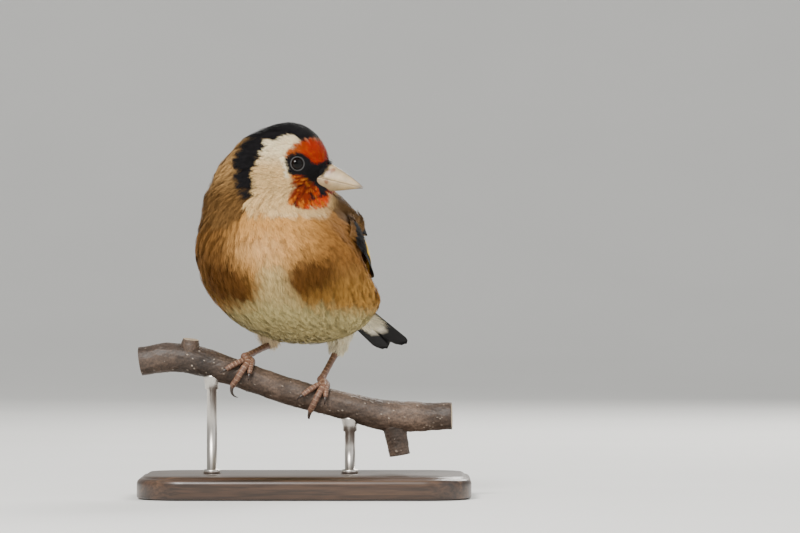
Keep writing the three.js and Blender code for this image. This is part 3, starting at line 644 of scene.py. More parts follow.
# Grid of rays from a middle that climbs the body: way = cos(polar) axis + sin(polar) (cos turn side
# + sin turn up), where polar falls from 180 degrees at the tail to 0 at the crown
def formGrid(rows, columns):
    share = (np.arange(rows) + 0.5) / rows
    middle = np.stack([np.interp(share, skin["shares"], c) for c in np.array(skin["middles"]).T], -1)
    axis = unit(np.stack([np.interp(share, skin["shares"], c) for c in np.array(skin["axes"]).T], -1))
    side = unit(np.array([0.0, 1, 0]) - dot(np.array([0.0, 1, 0]), axis) * axis)
    up = np.cross(axis, side)
    polar = np.pi * (1 - share)[:, None, None]
    turn = (np.arange(columns) * 2 * np.pi / columns)[None, :, None]
    ring = np.cos(turn) * side[:, None] + np.sin(turn) * up[:, None]
    way = np.cos(polar) * axis[:, None] + np.sin(polar) * ring
    return castOut(np.broadcast_to(middle[:, None], way.shape), way, 0.0, skin["reach"])


billBase = np.array([10.5, 0, -4.2])  # in the head's frame
eyeAim = np.array([7.25, 9.5, -0.85])


def fromBill(p):  # distance from the bill's root
    return np.linalg.norm(toHead(p) - billBase, axis=-1)


def eyeSeat(side):  # the eye's centre and the way it looks
    aim = fromHead(eyeAim * np.array([1, side, 1]))
    way = unit(aim - pose["headPlace"])
    skinPoint = castOut(pose["headPlace"][None], way[None], 0.0, 24)
    look = outwards(skinPoint)
    return (skinPoint - 1.7 * look)[0], look[0]


eyes = {side: eyeSeat(side) for side in (1, -1)}


def fromEyes(p):
    return np.minimum(*[np.linalg.norm(p - centre, axis=-1) for centre, look in eyes.values()])


def featherLength(p):  # short round the bill and eyes, longest on the flanks
    length = np.clip(1.0 + 0.17 * fromBill(p), 1.2, 7.2)
    length = np.where(p[:, 0] < -12, length * 1.1, length)
    return np.minimum(length, 1.2 + 0.5 * np.maximum(fromEyes(p) - 2.6, 0))


def coatDepth(p):  # how far the skin lies under the coat: a share of the feathers' length
    return 0.14 * featherLength(p) + 0.15


# Closed skin: the form's grid, moved inwards along its slope by the coat's depth
def makeSkin():
    grid = formGrid(skin["rows"], skin["columns"])
    flat = grid.reshape(-1, 3)
    skinPoints = flat - outwards(flat) * coatDepth(flat)[:, None]
    corners, sizes = tubeCorners(skin["rows"], skin["columns"])
    points = capped(skinPoints.reshape(grid.shape))
    corners = facingOut(points, corners, sizes)
    share = (np.arange(skin["rows"]) + 0.5) / skin["rows"]
    turn = np.arange(skin["columns"]) / skin["columns"]
    spots = np.stack(np.meshgrid(turn, share), -1).reshape(-1, 2)
    spots = np.concatenate([spots, [[0.5, 0], [0.5, 1]]])
    colours = markingsAt(points) * 0.7
    piece = addPiece("skin", toWorld(points), corners, sizes, plumageFinish, True,
                     colours, spots)
    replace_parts(piece, "head", "neck", "torso")
    return grid


surface = makeSkin()
print("skin made")


# Coat

coat = {
    "layers": 8.5,  # feathers over any one place
    "shaftSteps": 6,
    "barbWidth": 0.085,
    "lift": (0.1, 0.5),  # of the tips over the form
    "untidy": 7,  # degrees
    "barbs": 8.6,  # for each millimetre of a feather
    "fewest": 8,
    "most": 120,
    "fineBarbs": 1.7,  # how many times more on the breast and belly, and thinner
    "barbAngles": (32, 7),  # at the root and at the tip
    "barbReach": 0.55,  # at most, of the feather's length
    "overTip": 1.3,  # end of the longest barbs, in feather lengths
    "share": 1.0,
}


# Lie of the feathers: away from the bill on the head, and on the body down from the neck and back
# towards the tail, drawn together a little below the breast
def lieAt(p, normal):
    q = toHead(p)
    headWay = unit(q - billBase) @ headTurn.T
    neck = np.array([3.0, -2, 56])
    tailEnd = np.array([-40.0, 3, 27])
    bodyWay = unit(tailEnd - p) + 1.1 * unit(p - neck)
    gather = ease(p[:, 0], 4, 14) * ease(40 - p[:, 2], 0, 10) * ease(p[:, 2], 17, 24)
    bodyWay[:, 1] -= gather * 0.03 * (p[:, 1] - 6.5)
    share = ease(p[:, 2], 47, 60)[:, None]
    way = bodyWay * (1 - share) + headWay * share
    return unit(way - dot(way, normal) * normal)


def uncovered(p):  # 1 where feathers grow, 0 on the eyes and under the bill
    q = toHead(p)
    eye = ease(fromEyes(p), 2.6, 2.8)
    behind = np.where(q[:, 0] < 9.5, 9, 0)  # well out of the bill's oval
    bill = ease(np.hypot(q[:, 1] / 3.6, (q[:, 2] + 4.2) / 4.8) + behind, 0.98, 1.02)
    return eye * bill


# Roots spread over the grid's cells in proportion to area over feather size, fewer under the wings,
# and placed inside a cell by bilinear shares
def scatterRoots(grid):
    rows, columns = grid.shape[:2]
    right = np.roll(grid, -1, axis=1)
    a, b, c, d = grid[:-1], right[:-1], right[1:], grid[1:]
    area = np.linalg.norm(np.cross(c - a, d - b), axis=-1) / 2
    middle = ((a + b + c + d) / 4).reshape(-1, 3)
    length = featherLength(middle)
    width = 0.3 * length
    wanted = area.ravel() * coat["layers"] / (1.25 * length * width) * uncovered(middle)
    wanted *= 1 - 0.75 * (bedShade(middle) > 0.95)
    count = int(wanted.sum() * (1))
    cells = rng.choice(len(wanted), count, p=wanted / wanted.sum())
    u = rng.random(count)[:, None]
    v = rng.random(count)[:, None]
    k, j = np.divmod(cells, columns)
    root = blend(blend(a[k, j], b[k, j], u), blend(d[k, j], c[k, j], u), v)
    spots = np.stack([(j + u[:, 0]) / columns, (k + 0.5 + v[:, 0]) / rows], -1)
    return root, spots


# Shafts: short steps along the lie, each set back on the form by its distance to it
def growShafts(root, length, steps):
    p = root.copy()
    line, normals, ways = [], [], []
    jitter = np.radians(rng.normal(0, coat["untidy"], len(root)))[:, None]
    for k in range(steps):
        normal = outwards(p)
        p = p - normal * depthAt(p)[:, None]
        way = lieAt(p, normal)
        way = way * np.cos(jitter) + np.cross(normal, way) * np.sin(jitter)
        line.append(p)
        normals.append(normal)
        ways.append(way)
        p = p + way * (length / (steps - 1))[:, None]
    return np.stack(line, 1), np.stack(normals, 1), np.stack(ways, 1)


def along(stations, owner, share):  # value on a feather's stations at a share of its length
    place = share * (stations.shape[1] - 1)
    k = np.minimum(place.astype(int), stations.shape[1] - 2)
    t = (place - k)[:, None]
    return stations[owner, k] * (1 - t) + stations[owner, k + 1] * t


# Feathers as fans of barbs. A barb leaves its shaft at 32 degrees near the root and at 7 near the
# tip, runs to an oval outline and a little past the tip, and is a ribbon of one quad and one
# triangle, so that three points carry it: root, middle and tip. Where heights over the form are
# given, from the feather's root to its tip, the barbs lie at them
def growBarbs(line, normals, ways, length, width, count, heights=None):
    owner = np.repeat(np.arange(len(length)), count)
    first = np.repeat(np.cumsum(count) - count, count)
    index = np.arange(len(owner)) - first
    total = len(owner)
    share = 0.1 + 0.9 * (index // 2 + rng.random(total)) / (count[owner] / 2)
    share = np.clip(share, 0.05, 1)
    side = np.where(index % 2, 1.0, -1.0)
    base = along(line, owner, share)
    normal = unit(along(normals, owner, share))
    ahead = unit(along(ways, owner, share))
    across = np.cross(normal, ahead)
    angle = np.radians(np.clip(blend(*coat["barbAngles"], share ** 1.2) + rng.normal(0, 5, total), 3, 60))
    outline = np.sqrt(np.clip(1 - ((share - 0.5) / 0.58) ** 2, 0.08, 1))
    reach = np.minimum(width[owner] * outline / np.sin(angle), coat["barbReach"] * length[owner])
    reach = np.minimum(reach, (coat["overTip"] - share) * length[owner]) * rng.uniform(0.7, 1.2, total)
    points = [base]
    for bend in (np.radians(6), np.radians(-7)):
        way = ahead * np.cos(angle + bend)[:, None] + across * (side * np.sin(angle + bend))[:, None]
        points.append(points[-1] + way * (reach / 2)[:, None])
    if heights is not None:
        rise = blend(heights[0][owner], heights[1][owner], ease(share, 0, 0.9))
        rises = [rise, rise - 0.02 * reach + 0.05, rise - 0.06 * reach + rng.normal(0, 0.07, total)]
        points = [p + normal * (h - depthAt(p))[:, None] for p, h in zip(points, rises)]
    return owner, share, points, normal


def ribbons(points, normal, widths):  # five points of each ribbon: two at root and middle, one tip
    wayA = unit(points[1] - points[0])
    wayB = unit(points[2] - points[1])
    sideA = unit(np.cross(normal, wayA)) * widths[:, None] / 2
    sideB = unit(np.cross(normal, wayB)) * widths[:, None] / 2 * 0.85
    return np.stack([points[0] + sideA, points[0] - sideA, points[1] + sideB, points[1] - sideB,
                     points[2]], 1)


def ribbonCorners(total):  # a quad from root to middle and a triangle from there to the tip
    first = np.arange(total)[:, None] * 5
    corners = (first + np.array([[1, 3, 2, 0, 3, 4, 2]])).ravel()
    return corners, np.tile([4, 3], total)


# Barbs as one mesh, lighter towards their tips. Every corner of a feather's barbs lies in one small
# patch of the OFBake map, at its root's place
def addCoat(name, owner, share, verts, colours, spots):
    total = len(owner)
    corners, sizes = ribbonCorners(total)
    tone = np.array([0.8, 0.8, 0.99, 0.99, 1.04])
    tint = colours[:, None] * tone[None, :, None]
    patch = 0.0015 * np.stack([share * 2 - 1, rng.uniform(-1, 1, total)], -1)
    spot = np.clip(spots[owner] + patch, 0, 1)
    spot = np.repeat(spot[:, None], 5, 1)
    return addPiece(name, toWorld(verts.reshape(-1, 3)), corners, sizes, plumageFinish, True,
                    tint.reshape(-1, 3), spot.reshape(-1, 2))


# Part of the coat that a feather belongs to, by where its root is
coatPieces = ["face", "crown_and_nape", "cheeks", "throat", "breast_left", "breast_right", "belly",
              "back_left", "back_right"]


def coatPart(p):
    q = toHead(p)
    part = np.full(len(p), 6)
    part[p[:, 2] > 26] = 5
    part[(p[:, 2] > 26) & (p[:, 1] > 6)] = 4
    part[p[:, 0] < -6] = 7
    part[(p[:, 0] < -6) & (p[:, 1] < 3)] = 8
    part[(p[:, 2] > 44) & (p[:, 0] > -6)] = 3
    part[p[:, 2] > 56] = 1
    part[(p[:, 2] > 51) & (q[:, 0] > -7) & (q[:, 2] < 3)] = 2
    part[(fromBill(p) < 9) & (p[:, 2] > 48)] = 0
    return part


# The coat: roots, then shafts along the lie, then barbs, sorted into pieces by the roots' places
def makeCoat():
    root, spots = scatterRoots(surface)
    length = featherLength(root) * rng.uniform(0.85, 1.15, len(root))
    width = length * rng.uniform(0.27, 0.33, len(root))
    fine = np.where((root[:, 2] < 51) & (root[:, 0] > -6), coat["fineBarbs"], 1.0)
    count = (coat["barbs"] * fine * length * coat["share"]).astype(int)
    count = np.clip(count, coat["fewest"], coat["most"])
    line, normals, ways = growShafts(root, length, coat["shaftSteps"])
    lift = rng.uniform(*coat["lift"], len(root)) * np.clip(length / 6, 0.15, 1)
    depth = coatDepth(root)
    owner, share, points, normal = growBarbs(line, normals, ways, length, width, count, (-depth, lift))
    widths = coat["barbWidth"] * np.clip(length[owner] / 6, 0.62, 1) / fine[owner] ** 0.6
    verts = ribbons(points, normal, widths)
    # a feather shows its last third, so its colour is the marking's there
    ends = along(line, np.arange(len(root)), np.full(len(root), 0.98))
    shades = markingsAt(ends, rng.random(len(root)))
    shades = shades * (1 + rng.normal(0, 0.045, (len(root), 1)))
    colours = np.clip(shades[owner] * (1 + rng.normal(0, 0.17, (len(owner), 1))), 0, 1)
    part = coatPart(root)[owner]
    for i, name in enumerate(coatPieces):
        mine = part == i
        print(" ", name, int(mine.sum()) * 3, "triangles")
        addCoat("coat_" + name, owner[mine], share[mine], verts[mine], colours[mine], spots)
    print("coat made of", len(root), "feathers and", len(owner), "barbs")


makeCoat()


# Soft feathers whose shafts are given: lines of six points with a normal, as one piece of barbs
def addSoft(name, line, out, length, width, count, tint, spots, heights=None, spread=0.15):
    normals = np.repeat(out[:, None], line.shape[1], 1) if out.ndim == 2 else out
    ways = unit(np.gradient(line, axis=1))
    counts = np.full(len(line), count)
    owner, share, points, normal = growBarbs(line, normals, ways, length, width, counts, heights)
    verts = ribbons(points, normal, coat["barbWidth"] * np.clip(length[owner] / 6, 0.62, 1.1))
    tones = tint * (1 + rng.normal(0, 0.06, (len(line), 1)))
    colours = np.clip(tones[owner] * (1 + rng.normal(0, spread, (len(owner), 1))), 0, 1)
    return addCoat(name, owner, share, verts, colours, np.clip(spots, 0.01, 0.99))


# Flight feathers

wing = {
    "lower": ((9.5, 23, 41), (-7, 26, 31.5), (-33, 17, 27.5), (-56, 6.4, 21.6)),
    "upper": ((4, 20, 46), (-10, 17, 52), (-32, 4.5, 42), (-54, 2.8, 24.6)),
    "lean": 2.2,
    "edgeHeight": 0.4,
    "thickness": 0.3,
    "chord": 78,
    "barbs": 44,  # of each soft feather
    # name, how many, where the first and last start and end (share along, share across), widths and
    # heights over the body; the pattern is set by the name
    "rows": [
        ("primaries", 8, ((0.2, 0.1), (0.28, 0.3)), ((1, 0.35), (0.72, 0.6)), (2.6, 3.2), (0.8, 1.0)),
        ("secondaries", 5, ((0.24, 0.34), (0.3, 0.62)), ((0.58, 0.45), (0.68, 0.72)), (3.6, 3.8),
         (1.2, 1.3)),
        ("tertials", 3, ((0.26, 0.68), (0.24, 0.88)), ((0.66, 0.8), (0.5, 0.93)), (4.6, 4.8), (1.5, 1.6)),
        ("primaryCoverts", 3, ((0.1, 0.06), (0.14, 0.2)), ((0.42, 0.06), (0.38, 0.22)), (2.8, 3),
         (1.1, 1.2)),
        ("greaterCoverts", 9, ((0.12, 0.2), (0.14, 0.88)), ((0.41, 0.24), (0.38, 0.92)), (3.2, 3.6),
         (1.4, 1.5)),
    ],
    # soft feathers over the vanes: how many, share along, share across, length, height over the
    # body, tint
    "soft": [
        ("median", 70, (0.0, 0.06), (0.0, 0.95), 4.2, (1.2, 1.6), "black"),
        ("lesser", 130, (-0.06, 0.04), (0.3, 1.0), 5.5, (0.7, 1.2), "mantle"),
        ("scapular", 110, (-0.02, 0.4), (0.78, 1.06), 8.5, (0.5, 1.5), "mantle"),
    ],
}


def bezier(stops, t):  # cubic curve with four stops
    a, b, c, d = (np.array(stop, float) for stop in stops)
    t = t[:, None]
    return a * (1 - t) ** 3 + 3 * b * t * (1 - t) ** 2 + 3 * c * t ** 2 * (1 - t) + d * t ** 3


# Point of the folded wing at a share along and across, on a ray out of the body: at that height over
# the plumage, or on the wing's own plane past the rump
def wingPoint(share, across, lift, side):
    share, across, lift = np.broadcast_arrays(share, across, lift)
    border = np.maximum(ease(across, 0.35, 0.9), 0.5 * ease(-share, -0.1, 0))
    height = blend(lift, np.minimum(lift, wing["edgeHeight"]), border * (1 - share))
    inner = np.clip(share, 0, 1)
    p = blend(bezier(wing["lower"], inner), bezier(wing["upper"], inner), across[:, None])
    p[:, 1] = p[:, 1] * side + wing["lean"] * inner ** 2
    inside = np.stack([p[:, 0] * 0.9, wing["lean"] * inner ** 2, p[:, 2] - 7], -1)
    way = unit(p - inside)
    reach = np.linalg.norm(p - inside, axis=-1)
    held = castOut(inside, way, height, 40, 60)
    fromInside = np.linalg.norm(held - inside, axis=-1)
    beyond = ease(inner, 0.45, 0.75)
    return inside + way * blend(fromInside, np.maximum(fromInside, reach + height), beyond)[:, None]


# Flat closed vane: an oval section 14 points round, wider than thick, whose half width follows an
# outline that opens from the quill and rounds off at the tip
def vaneGrid(line, across, face, halfWidth, thickness, tipShape=0.22, sides=14):
    steps = len(line)
    t = np.linspace(0, 1, steps)
    rounding = np.sqrt(np.clip(1 - ease(t, 1 - tipShape, 1.02) ** 1.6, 0.004, 1))
    outline = blend(0.35, 1, ease(t, 0, 0.3)) * rounding
    angle = np.arange(sides) * 2 * np.pi / sides
    flat = np.cos(angle)[None, :, None] * across[:, None] * (halfWidth * outline)[:, None, None]
    swell = 0.35 + 0.65 * np.abs(np.sin(angle))
    thick = np.sin(angle)[None, :, None] * face[:, None] * thickness / 2 * swell[None, :, None]
    camber = -0.12 * halfWidth * (np.cos(angle) ** 2)[None, :, None] * face[:, None]
    return line[:, None] + flat + thick * np.clip(outline, 0.15, 1)[:, None, None] + camber


def rowPoints(row, i):  # root, tip, half width and height of the feather that is i-th in its row
    name, count, root, tip, wide, lift = row
    t = i / max(count - 1, 1)
    return (blend(np.array(root[0]), np.array(root[1]), t), blend(np.array(tip[0]), np.array(tip[1]), t),
            blend(wide[0], wide[1], t) / 2, blend(lift[0], lift[1], t))


def featherFrame(line, tilt):  # directions across and out of a vane that is tilted like a tile
    ahead = unit(np.gradient(line, axis=0))
    near = (depthAt(line) < 6)[:, None]
    out = outwards(line)
    if not near.all():
        last = np.argmax(~near[:, 0]) - 1
        out = np.where(near, out, out[last])
    across = unit(np.cross(ahead, out))
    across = np.where(across[:, 2:] > 0, -across, across)
    face = unit(np.cross(across, ahead))
    face = np.where(dot(face, out) < 0, -face, face)
    across = unit(across + face * tilt)
    return across, unit(face - dot(face, across) * across)


# Colour of a wing feather: yellow and pale parts are set by the share along the wing and along the
# feather
def wingTint(name, share, own):
    colour = np.broadcast_to(tints["black"], (len(share), 3)).copy()
    if name in ("primaries", "secondaries"):
        colour = paint(colour, tints["yellow"], ease(share, 0.2, 0.22) * ease(0.5 - share, 0, 0.03))
        colour = paint(colour, tints["tip"], ease(own, 0.93, 0.96))
    if name == "tertials":
        colour = paint(colour, tints["tip"], ease(own, 0.86, 0.9))
    if name == "greaterCoverts":
        colour = paint(colour, tints["yellow"], ease(own, 0.1, 0.16))
    return colour


# Folded wing: rows of vanes on lines from root to tip, overlapping like tiles, and soft coverts over them
def makeWing(side, name):
    grids, colours = [], []
    stations = 22
    t = np.linspace(0, 1, stations)
    for row in wing["rows"]:
        for i in range(row[1]):
            root, tip, halfWidth, lift = rowPoints(row, i)
            share = blend(root[0], tip[0], t)
            across = blend(root[1], tip[1], t)
            line = wingPoint(share, across, lift * blend(0.7, 1, t), side)
            acrossWay, face = featherFrame(line, 0.2)
            grid = vaneGrid(line, acrossWay, face, halfWidth, wing["thickness"])
            grids.append(grid)
            tint = wingTint(row[0], share, t)
            colours.append(np.repeat(tint[:, None], grid.shape[1], 1))
    for kind, number, alongs, acrosses, size, heights, tint in wing["soft"]:
        share = rng.uniform(*alongs, number)
        across = rng.uniform(*acrosses, number)
        length = size * rng.uniform(0.8, 1.15, number)
        reach = length / wing["chord"]
        lines = [wingPoint(np.maximum(share, 0) + reach * t, across, np.full(number, heights[0]), side)
                 for t in np.linspace(0, 1, coat["shaftSteps"])]
        line = np.stack(lines, 1)
        early = share < 0  # those ahead of the bend start further forward
        line[early] -= (line[early, -1:] - line[early, :1]) * (-share[early] / 0.08)[:, None, None]
        tips = markingsAt(line[:, -1]) if kind == "lesser" else np.broadcast_to(tints[tint], (number, 3))
        tips = blend(tips, tints[tint], 0.6)
        rises = (np.full(number, heights[0]), rng.uniform(heights[0], heights[1], number))
        spots = np.stack([share + 0.1, across * 0.9], -1)
        addSoft(f"coat_{kind}_{name}", line, outwards(line), length, length * 0.3, wing["barbs"],
                tips, spots, rises)
    return addTubes(name, grids, quillFinish, colours)


for side, word in ((1, "left"), (-1, "right")):
    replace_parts(makeWing(side, "feathers_wing_" + word), "wing_" + word)
print("wings made")

tail = {
    "root": np.array([-30, 2.9, 30.6]),
    "pitch": 21.5,
    "turn": 7,
    "roll": 12,
    "pairs": 6,
    "length": (43.5, 46.5),
    "fan": 0.35,
    "step": 0.42,
    "width": (6, 5),
    "thickness": 0.3,
    "barbs": 60,
    "coverts": [
        ("undertail", 110, (2, 15), 3.2, -3.2, 0.9, (13, 17), "white"),
        ("uppertail", 60, (-7, 3), 3.4, 1.4, -0.9, (8, 11), "black"),
    ],
}


def turnY(degrees):  # turn about y, for column vectors
    a = np.radians(degrees)
    return np.array([[np.cos(a), 0, np.sin(a)], [0, 1, 0], [-np.sin(a), 0, np.cos(a)]])


def turnX(degrees):  # turn about x, for column vectors
    a = np.radians(degrees)
    return np.array([[1, 0, 0], [0, np.cos(a), -np.sin(a)], [0, np.sin(a), np.cos(a)]])


# Tail: pairs of straight vanes that fan out by equal angles and lie one under the other
def makeTail():
    turn = turned(-tail["turn"]) @ turnY(-tail["pitch"]) @ turnX(tail["roll"])
    grids, colours = [], []
    stations = 26
    t = np.linspace(0, 1, stations)
    for i in range(tail["pairs"]):
        for side in (1, -1):
            share = i / (tail["pairs"] - 1)
            length = blend(*tail["length"], share)
            halfWidth = blend(*tail["width"], share) / 2
            angle = np.radians(tail["fan"] * (i + 0.5) * side)
            drop = -tail["step"] * (i + (0 if side > 0 else 0.35))
            reach = length * t
            line = np.stack([-reach * np.cos(angle), 0.3 * (i + 0.5) * side + reach * np.sin(angle),
                             drop * blend(0.55, 1, t)], -1)
            across = np.broadcast_to(unit(np.array([0, 1, 0.1 * side])), line.shape)
            face = np.broadcast_to(unit(np.array([0, -0.1 * side, 1])), line.shape)
            grid = vaneGrid(line, across, face, halfWidth, tail["thickness"], 0.1)
            tint = np.broadcast_to(tints["black"], (stations, 3)).copy()
            tint = paint(tint, tints["tip"], ease(t, 0.965, 0.98) * (i < 4))
            tint = np.repeat(tint[:, None], grid.shape[1], 1)
            if i >= 3:  # pale patch on the inner web of the outer feathers
                inner = ease(-np.cos(np.arange(14) * 2 * np.pi / 14) * side, -0.2, 0.2)[None, :]
                patch = (ease(t, 0.5, 0.55) * ease(0.78 - t, 0, 0.04))[:, None] * inner
                tint = blend(tint, tints["tip"], patch[..., None])
            grids.append(grid @ turn.T + tail["root"])
            colours.append(tint)
    piece = addTubes("feathers_tail", grids, quillFinish, colours)
    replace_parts(piece, "tail")
    # coverts in the tail's own frame: start and end along it, half the spread, height, sag, length, tint
    for kind, number, start, half, height, sag, size, tint in tail["coverts"]:
        x = -rng.uniform(*start, number)
        y = rng.uniform(-half, half, number)
        length = rng.uniform(*size, number)
        steps = np.linspace(0, 1, coat["shaftSteps"])
        z = height + sag * np.abs(y / half) ** 2 * 0.5 + rng.normal(0, 0.25, number)
        line = np.stack([x[:, None] - length[:, None] * steps, y[:, None] * blend(1, 0.75, steps),
                         z[:, None] + sag * steps], -1)
        out = np.broadcast_to(np.array([0, 0, np.sign(height)]) @ turn.T, (number, 3))
        shade = np.broadcast_to(tints[tint], (number, 3))
        spots = np.stack([-x / tail["length"][1], 0.5 + 0.5 * y / half], -1)
        line = line @ turn.T + tail["root"]
        addSoft("coat_" + kind, line, out, length, length * 0.17, tail["barbs"], shade, spots)


makeTail()
print("tail made")


# Eyes and lids

eye = {
    "radius": 2.3,
    "iris": (30, 52),  # degrees from the pupil's middle
    "irisTint": np.array([0.008, 0.0035, 0.0018]),
    "pupilTint": 0.001,
    "lidRadius": 1.95,
    "lidThickness": 0.25,
    "lidShift": 1.62,
    "lidBeads": 34,
    "lidTint": np.array([0.032, 0.0304, 0.02944]),
}


# Ball about its look axis: a latitude grid, coloured by the angle from the pupil's middle
def makeEye(side, word):
    centre, look = eyes[side]
    acrossWay = unit(np.cross(look, [0, 0, 1]))
    up = np.cross(look, acrossWay)
    rows, columns = 40, 64
    polar = np.linspace(0.02, np.pi - 0.02, rows)[:, None, None]
    turn = (np.arange(columns) * 2 * np.pi / columns)[None, :, None]
    way = np.cos(polar) * look + np.sin(polar) * (np.cos(turn) * acrossWay + np.sin(turn) * up)
    grid = centre + eye["radius"] * way
    off = np.degrees(np.broadcast_to(polar[..., 0], grid.shape[:2]))
    colour = np.full(grid.shape, eye["pupilTint"])
    inner, outer = eye["iris"]
    iris = (ease(off, inner, inner + 3) * ease(outer - off, 0, 4))[..., None]
    colour = blend(colour, eye["irisTint"], iris)
    piece = addTubes("eyeball_" + word, [grid], eyeFinish, [colour])
    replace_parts(piece, "eye_" + word)
    # lid: a ring of beaded skin
    steps, sides = 160, 14
    a = np.arange(steps) * 2 * np.pi / steps
    ringWay = np.cos(a)[:, None] * acrossWay + np.sin(a)[:, None] * up
    bead = 1 + 0.1 * np.cos(a * eye["lidBeads"])
    b = (np.arange(sides) * 2 * np.pi / sides)[None, :, None]
    radius = (eye["lidThickness"] * bead)[:, None, None]
    middle = centre + eye["lidShift"] * look + ringWay * eye["lidRadius"]
    lid = middle[:, None] + radius * (np.cos(b) * ringWay[:, None] * 0.8 + np.sin(b) * look)
    k, j = np.meshgrid(np.arange(steps), np.arange(sides), indexing="ij")
    first = k * sides + j
    second = k * sides + (j + 1) % sides
    total = steps * sides
    quads = np.stack([first, second, (second + sides) % total, (first + sides) % total], -1)
    tint = np.broadcast_to(eye["lidTint"], (total, 3))
    lid = lid.reshape(-1, 3)
    corners = facingOut(lid, quads.ravel(), np.full(total, 4))
    addPiece("lid_" + word, toWorld(lid), corners, np.full(total, 4), lidFinish, True, tint)


for side, word in ((1, "left"), (-1, "right")):
    makeEye(side, word)
print("eyes made")


# Bill

bill = {
    "root": np.array([8.2, 0, -4.0]),
    "tip": np.array([23.9, 0, -7.7]),
    "halfWidth": 3.75,
    # height over the mouth line and depth under it, along the bill
    "culmen": ((0, 0.2, 0.4, 0.6, 0.8, 0.93, 1), (2.6, 3.6, 4.6, 3.5, 2.05, 0.95, 0.2)),
    "gonys": ((0, 0.2, 0.4, 0.6, 0.8, 0.93, 1), (4.4, 3.9, 3.1, 2.15, 1.1, 0.45, 0.12)),
    "gap": 0.06,
    "nostril": (13.6, 2.0, -1.6),
    "pitSize": (0.8, 0.6, 0.5),
    "stains": ((14.2, -3.0, 0.9), (13.6, -6.2, 0.8), (15.4, -2.4, 0.7), (12.2, -8.2, 0.7)),
    "ivory": np.array([0.45, 0.33, 0.18]),
    "pink": np.array([0.50, 0.31, 0.16]),
    "grey": np.array([0.10, 0.078, 0.066]),
    "stain": np.array([0.22, 0.08, 0.025]),
}


# Half of the bill: at each share t the section is half of a pointed oval, as wide as (1-t)^0.86 and
# as high as its profile there, closed by the flat of the mouth line
def makeBill(name, profile, up, node):
    steps, arc, flat = 70, 40, 12
    t = 1 - (1 - np.linspace(0, 1, steps)) ** 1.25
    taper = np.clip(1 - t, 0, 1) ** 0.86
    width = np.maximum(bill["halfWidth"] * taper, 0.12)
    arch = np.interp(t, *profile)
    centre = blend(bill["root"], bill["tip"], t[:, None])
    angle = np.linspace(0, np.pi, arc)
    arched = np.stack([np.cos(angle) * (1 - 0.42 * np.sin(angle)), np.sin(angle) ** 0.85], -1)
    under = np.stack([np.linspace(-1, 1, flat + 2)[1:-1], np.full(flat, -0.02)], -1)
    section = np.concatenate([arched, under])
    grid = np.stack([
        np.broadcast_to(centre[:, None, 0], (steps, len(section))),
        width[:, None] * section[:, 0],
        centre[:, None, 2] + up * (bill["gap"] + arch[:, None] * section[:, 1]),
    ], -1)
    if up > 0:  # nostrils as small pits
        for side in (1, -1):
            pit = np.array(bill["nostril"]) * np.array([1, side, 1])
            away = np.linalg.norm((grid - pit) / bill["pitSize"], axis=-1)
            grid[..., 1] -= side * 0.55 * np.exp(-away ** 2)
    colour = np.broadcast_to(bill["ivory"], grid.shape).copy()
    share = np.broadcast_to(t[:, None], grid.shape[:2])[..., None]
    edge = np.abs(section[:, 1])[None, :, None]
    colour = blend(colour, bill["pink"], 0.45 * ease(0.5 - share, 0, 0.5) * (1 - edge * 0.4))
    colour = blend(colour, bill["grey"], ease(share, 0.82, 1.0) * 0.85)
    if up > 0:
        colour = blend(colour, bill["grey"], ease(edge, 0.8, 0.98) * ease(share, 0.2, 0.8) * 0.8)
    stain = 0.25 * ripple(grid, 3, 4)
    for x, z, size in bill["stains"]:
        stain = stain + 1.1 * np.exp(-((grid[..., 0] - x) / size) ** 2 - ((grid[..., 2] - z) / size) ** 2)
    colour = blend(colour, bill["stain"], ease(stain, 0.3, 0.8)[..., None] * 0.85)
    piece = addTubes(name, [fromHead(grid)], hornFinish, [colour])
    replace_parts(piece, node)


bristles = {"count": 150, "lengths": (2.0, 1.5), "barbs": 16}


# Small stiff feathers that lean forward from the lores over the root of the bill
def makeBristles():
    count = bristles["count"]
    side = np.where(rng.random(count) < 0.5, 1.0, -1.0)
    t = rng.random(count)
    start = np.stack([blend(12.4, 11.2, t), side * blend(0.3, 3.9, t ** 0.8), blend(0.7, -3.4, t)], -1)
    start += rng.normal(0, 0.12, (count, 3))
    way = np.stack([np.full(count, 1.0), -0.22 * side * t, -0.5 + 0.2 * t], -1)
    way = unit(way + rng.normal(0, 0.05, (count, 3)))
    length = blend(*bristles["lengths"], t) * rng.uniform(0.7, 1.15, count)
    steps = np.linspace(0, 1, coat["shaftSteps"])[:, None]
    line = start[:, None] + way[:, None] * steps * length[:, None, None]
    out = unit(start - np.array([12, 0, -4]))
    line += out[:, None] * 0.35 * np.sin(steps * 2)
    shade = np.broadcast_to(tints["crown"], (count, 3))
    spots = np.stack([0.5 + 0.5 * side * t, t], -1)
    addSoft("coat_bristles", fromHead(line), out @ headTurn.T, length, length * 0.22,
            bristles["barbs"], shade, spots)


makeBristles()
makeBill("horn_upper", bill["culmen"], 1, "bill_upper")
makeBill("horn_lower", bill["gonys"], -1, "bill_lower")
print("bill made")


# Perch

